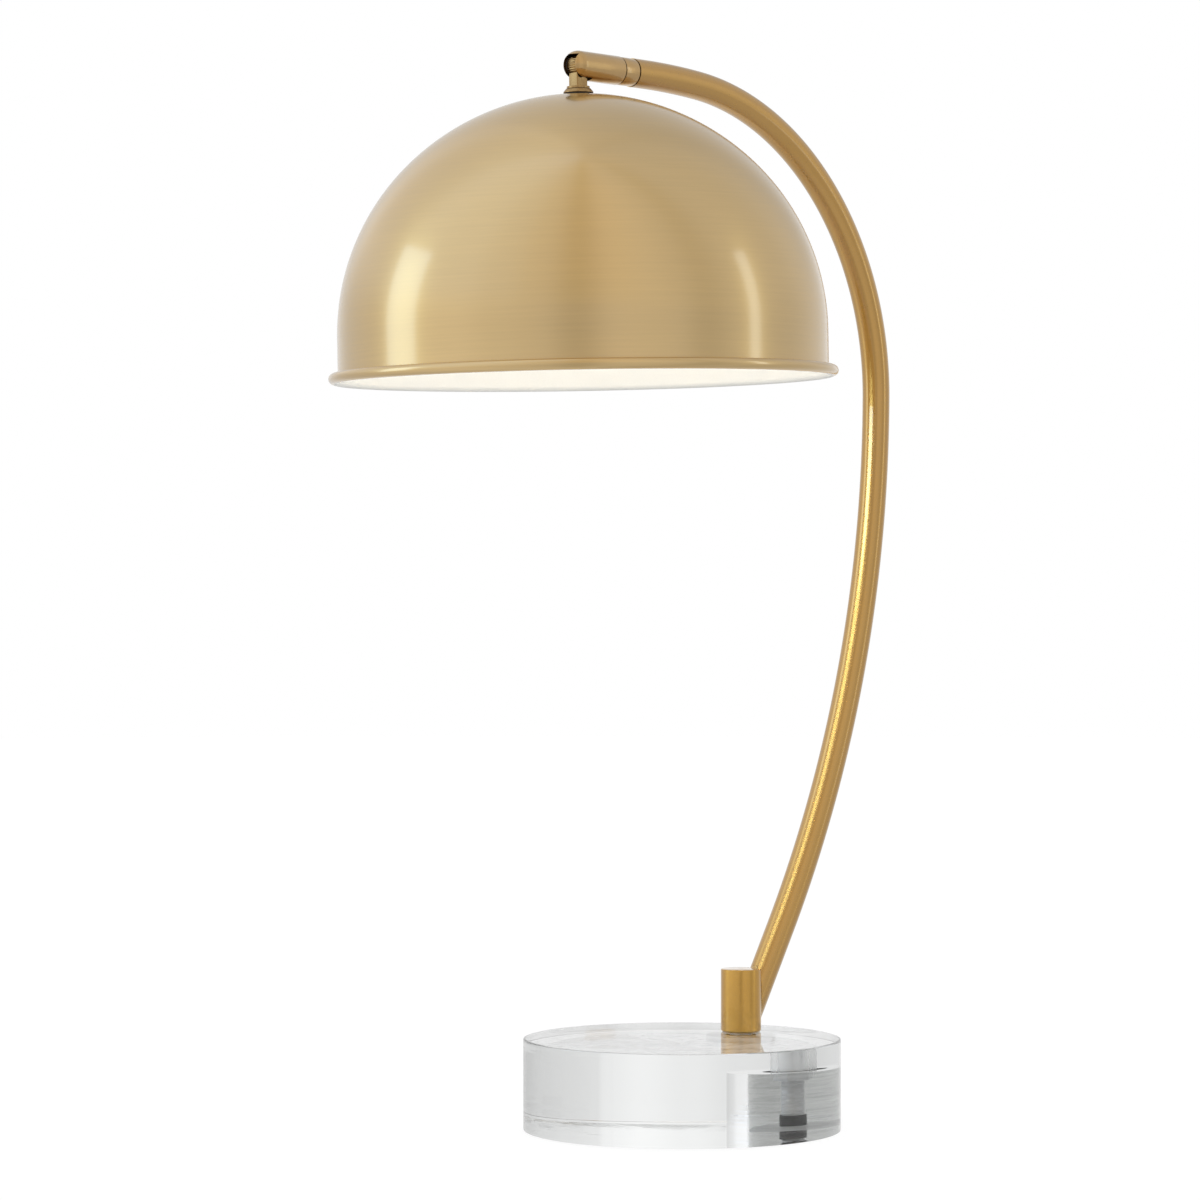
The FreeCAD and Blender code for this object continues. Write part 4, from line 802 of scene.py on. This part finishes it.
# %% Dress the remaining pieces
FINISHES = {
    "base_pad": pad_sheet, "arm_wire": jacket, "arm_insert": holder_brass, "turn_screw": steel,
    "turn_washer": steel, "tilt_washers": dark_nylon,
    "socket_shell": holder_brass, "socket_liner": card, "socket_core": black_plastic,
    "socket_thread": holder_brass, "socket_contact": holder_brass, "terminal_screws": steel,
    "head_leads": jacket, "bulb_cap": cap_metal, "bulb_insulator": glaze, "bulb_contact": holder_brass,
    "bulb_globe": bulb_glass, "bulb_stem": bulb_glass, "bulb_filament": tungsten, "switch_shaft": steel,
}
for name, finish in FINISHES.items():
    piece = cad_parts[name]
    for slot in piece.material_slots:
        slot.material = finish
print("Dressed:", len(FINISHES), "pieces")

# %% [markdown]
# ## Floor and backdrop
# The lamp stands on a plain white floor that runs to the horizon. To the camera, floor and room are white
# by their own glow, so the lamps need not be turned up for it. A small part of the floor is ordinary matt
# white, which keeps the lamp's soft shadow. The metal and the clear block see a room with two rings of
# lighter and darker walls, a low ring and a high one.


# %% Lay the floor
def seen_rays(tree):
    """One where a ray comes from the camera, from metal or through glass, and nought elsewhere."""
    path = tree.nodes.new("ShaderNodeLightPath").outputs
    seen = sums(tree, "MAXIMUM", path["Is Camera Ray"], path["Is Glossy Ray"])
    return path, sums(tree, "MAXIMUM", seen, path["Is Transmission Ray"])


LOW_WALL = [(-180, 0.97), (-168, 0.87), (-140, 0.74), (-116, 0.80), (-95, 0.96), (-60, 1.0),
            (-40, 0.90), (-20, 0.84), (-2, 0.62), (16, 0.86), (42, 0.82), (60, 0.64), (78, 0.76),
            (110, 0.70), (140, 0.78), (157.5, 0.83), (159.5, 0.94), (170, 1.02), (180, 0.97)]
HIGH_WALL = [(-180, 0.80), (-165, 0.84), (-150, 1.02), (-142, 0.96), (-118, 0.94, 0.10), (-96, 1.02, 0.2),
             (-60, 1.0, 0.17), (-40, 0.92, 0.1), (-20, 0.87, -0.06), (-2, 0.70, -0.22), (16, 0.91, -0.14),
             (32, 0.87, -0.06), (44, 0.80, -0.04), (60, 0.68, -0.06), (78, 0.76), (110, 0.76), (128, 0.80),
             (150, 0.70), (160, 0.76), (180, 0.80)]
BRIGHTEST = 1.3

# Between these two heights the low walls give way to the high ones. The ceiling is darker behind the
# lamp, and the walls are darker just above the floor. FILL is what the matt surfaces see.
WALLS_MEET = 0.13, 0.3
CEILING_DIP = 0.3
DARK_FOOT, DARK_FOOT_TONE = 0.04, 0.88
FILL = 0.75
FLOOR_WHITE, SHADOW_SHARE = 1.09, 0.16


def wall_tones(tree, share, table):
    """How light one ring of the room is in each direction: its angle, its level and its blue share."""
    walls = add(tree, "ShaderNodeValToRGB", {0: share})
    walls.color_ramp.interpolation = "EASE"
    stops = walls.color_ramp.elements
    stops.remove(stops[1])
    for number, (angle, level, *blue) in enumerate(table):
        blue = blue[0] if blue else 0.0
        stop = stops.new((angle + 180) / 360) if number else stops[0]
        level /= BRIGHTEST
        stop.color = (level, level * (1 + 0.4 * blue), level * (1 + blue), 1)
    return walls.outputs[0]


def room_tones(tree, direction):
    """The room's tones, from the camera's side to its right: one ring below the horizon and one above."""
    way = add(tree, "ShaderNodeSeparateXYZ", {0: direction})
    azimuth = sums(tree, "ARCTAN2", sums(tree, "ADD", way.outputs[0], way.outputs[1]),
                   sums(tree, "SUBTRACT", way.outputs[0], way.outputs[1]))
    share = sums(tree, "ADD", sums(tree, "DIVIDE", azimuth, math.tau), 0.5)
    tones = add(tree, "ShaderNodeMixRGB",
                {0: ranged(tree, way.outputs[2], *WALLS_MEET), 1: wall_tones(tree, share, LOW_WALL),
                 2: wall_tones(tree, share, HIGH_WALL)}).outputs[0]
    return way, tones


floor_mesh = bpy.data.meshes.new("floor")
shape = bmesh.new()
bmesh.ops.create_circle(shape, cap_ends=True, cap_tris=False, segments=96, radius=8.0)
shape.to_mesh(floor_mesh)
shape.free()
floor = placed("floor", floor_mesh)
floor_white = bpy.data.materials.new("floor_white")
floor_white.use_nodes = True
tree = floor_white.node_tree
tree.nodes.clear()
path, seen = seen_rays(tree)
matt = add(tree, "ShaderNodeBsdfDiffuse", {"Color": (0.82, 0.82, 0.82, 1)}).outputs[0]
white = add(tree, "ShaderNodeEmission", {"Color": (1, 1, 1, 1), "Strength": FLOOR_WHITE}).outputs[0]
no_floor = add(tree, "ShaderNodeBsdfTransparent").outputs[0]
white = add(tree, "ShaderNodeMixShader", {0: path["Is Camera Ray"], 1: no_floor, 2: white}).outputs[0]
share = sums(tree, "SUBTRACT", seen, sums(tree, "MULTIPLY", path["Is Camera Ray"], SHADOW_SHARE))
mixed = add(tree, "ShaderNodeMixShader", {0: share, 1: matt, 2: white}).outputs[0]
add(tree, "ShaderNodeOutputMaterial", {"Surface": mixed})
floor_mesh.materials.append(floor_white)
print("Floor laid")

# %% [markdown]
# ## Light
# A white room with two tall soft boxes, one on each side of the camera, gives brass its broad bright bands
# and the calm tone between them. The lamp's own bulb is lit: its light is a small warm ball where the
# filament glows, which also fills the white inside of the shade. The white inside shines back on the arm
# as a long bright line, so a larger and stronger light at the same place is linked to the arm alone.


# %% Light the room
world = bpy.data.worlds.new("white_room")
bpy.context.scene.world = world
world.use_nodes = True
tree = world.node_tree
tree.nodes.clear()
path, seen = seen_rays(tree)
way, tones = room_tones(tree, add(tree, "ShaderNodeTexCoord").outputs["Generated"])
behind = sums(tree, "SUBTRACT", way.outputs[1], way.outputs[0])
up_behind = sums(tree, "MULTIPLY", sums(tree, "MAXIMUM", behind), sums(tree, "MAXIMUM", way.outputs[2]))
ceiling = sums(tree, "SUBTRACT", 1.0, sums(tree, "MULTIPLY", up_behind, CEILING_DIP))
dark_foot = ranged(tree, way.outputs[2], 0.0, DARK_FOOT, DARK_FOOT_TONE, 1.0)
ceiling = sums(tree, "MULTIPLY", ceiling, dark_foot)
room = add(tree, "ShaderNodeBackground",
           {"Color": tones, "Strength": sums(tree, "MULTIPLY", ceiling, BRIGHTEST)}).outputs[0]
fill = add(tree, "ShaderNodeBackground", {"Color": (1, 1, 1, 1), "Strength": FILL}).outputs[0]
backdrop = add(tree, "ShaderNodeBackground", {"Color": (1, 1, 1, 1), "Strength": 1.0}).outputs[0]
lit = add(tree, "ShaderNodeMixShader", {0: seen, 1: fill, 2: room}).outputs[0]
lit = add(tree, "ShaderNodeMixShader", {0: path["Is Camera Ray"], 1: lit, 2: backdrop}).outputs[0]
add(tree, "ShaderNodeOutputWorld", {"Surface": lit})


LAMP_MIDDLE = Vector((0, 0, 0.35))


def soft_box(name, azimuth, elevation, distance, width, height, power, colour):
    """A soft box that faces the lamp. Azimuth is measured from the camera, to its right, in degrees."""
    light = bpy.data.lights.new(name, "AREA")
    light.shape, light.size, light.size_y, light.energy = "RECTANGLE", width, height, power
    light.color = colour
    turn, rise = math.radians(azimuth - 45), math.radians(elevation)
    spot = Vector((math.cos(turn) * math.cos(rise), math.sin(turn) * math.cos(rise), math.sin(rise)))
    lamp = placed(name, light)
    lamp.location = LAMP_MIDDLE + spot * distance
    lamp.rotation_euler = (-spot).to_track_quat("-Z", "Y").to_euler()
    lamp.visible_transmission = False


soft_box("left_box", -88, 14, 1.7, 0.55, 1.0, 2.0, (0.58, 0.82, 1.0))
soft_box("right_box", 82, 14, 1.7, 0.2, 1.1, 0.74, (0.78, 0.90, 0.95))
FILAMENT_DROP = 123.5


def shade_light(name, power, colour, radius):
    """A round light where the bulb's filament is. It moves with the shade."""
    light = bpy.data.lights.new(name, "POINT")
    light.energy, light.color, light.shadow_soft_size = power, colour, radius
    lamp = placed(name, light)
    lamp.location = (on_shade @ Vector((0, 0, FILAMENT_DROP))) * MM
    lamp.visible_glossy = lamp.visible_transmission = False
    lamp.parent = shade
    return lamp


shade_light("bulb_light", 0.28, (1.0, 0.96, 0.90), 0.008)
gleam = shade_light("arm_gleam", 1.9, (0.58, 0.84, 1.0), 0.08)
gleam.visible_glossy, gleam.visible_camera = True, False
gleam.light_linking.receiver_collection = bpy.data.collections.new("gleam_on")
gleam.light_linking.receiver_collection.objects.link(arm)
for name in ("bulb_globe", "bulb_stem"):
    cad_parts[name].visible_shadow = False

# %% [markdown]
# ## Camera
# The view is from the front right, at the height of the tube's middle, through a long lens that keeps the
# shade's rim almost flat.

# %% Set the camera
camera = placed("camera", bpy.data.cameras.new("camera"))
camera.data.lens, camera.data.sensor_width = 120.41, 36.0
camera.location = (1.5586, -1.6235, 0.2822)
camera.rotation_euler = Vector((-0.7071, 0.7071, 0.0066)).to_track_quat("-Z", "Y").to_euler()
bpy.context.scene.camera = camera
bpy.context.scene.view_settings.view_transform = "Standard"
print("Camera set")
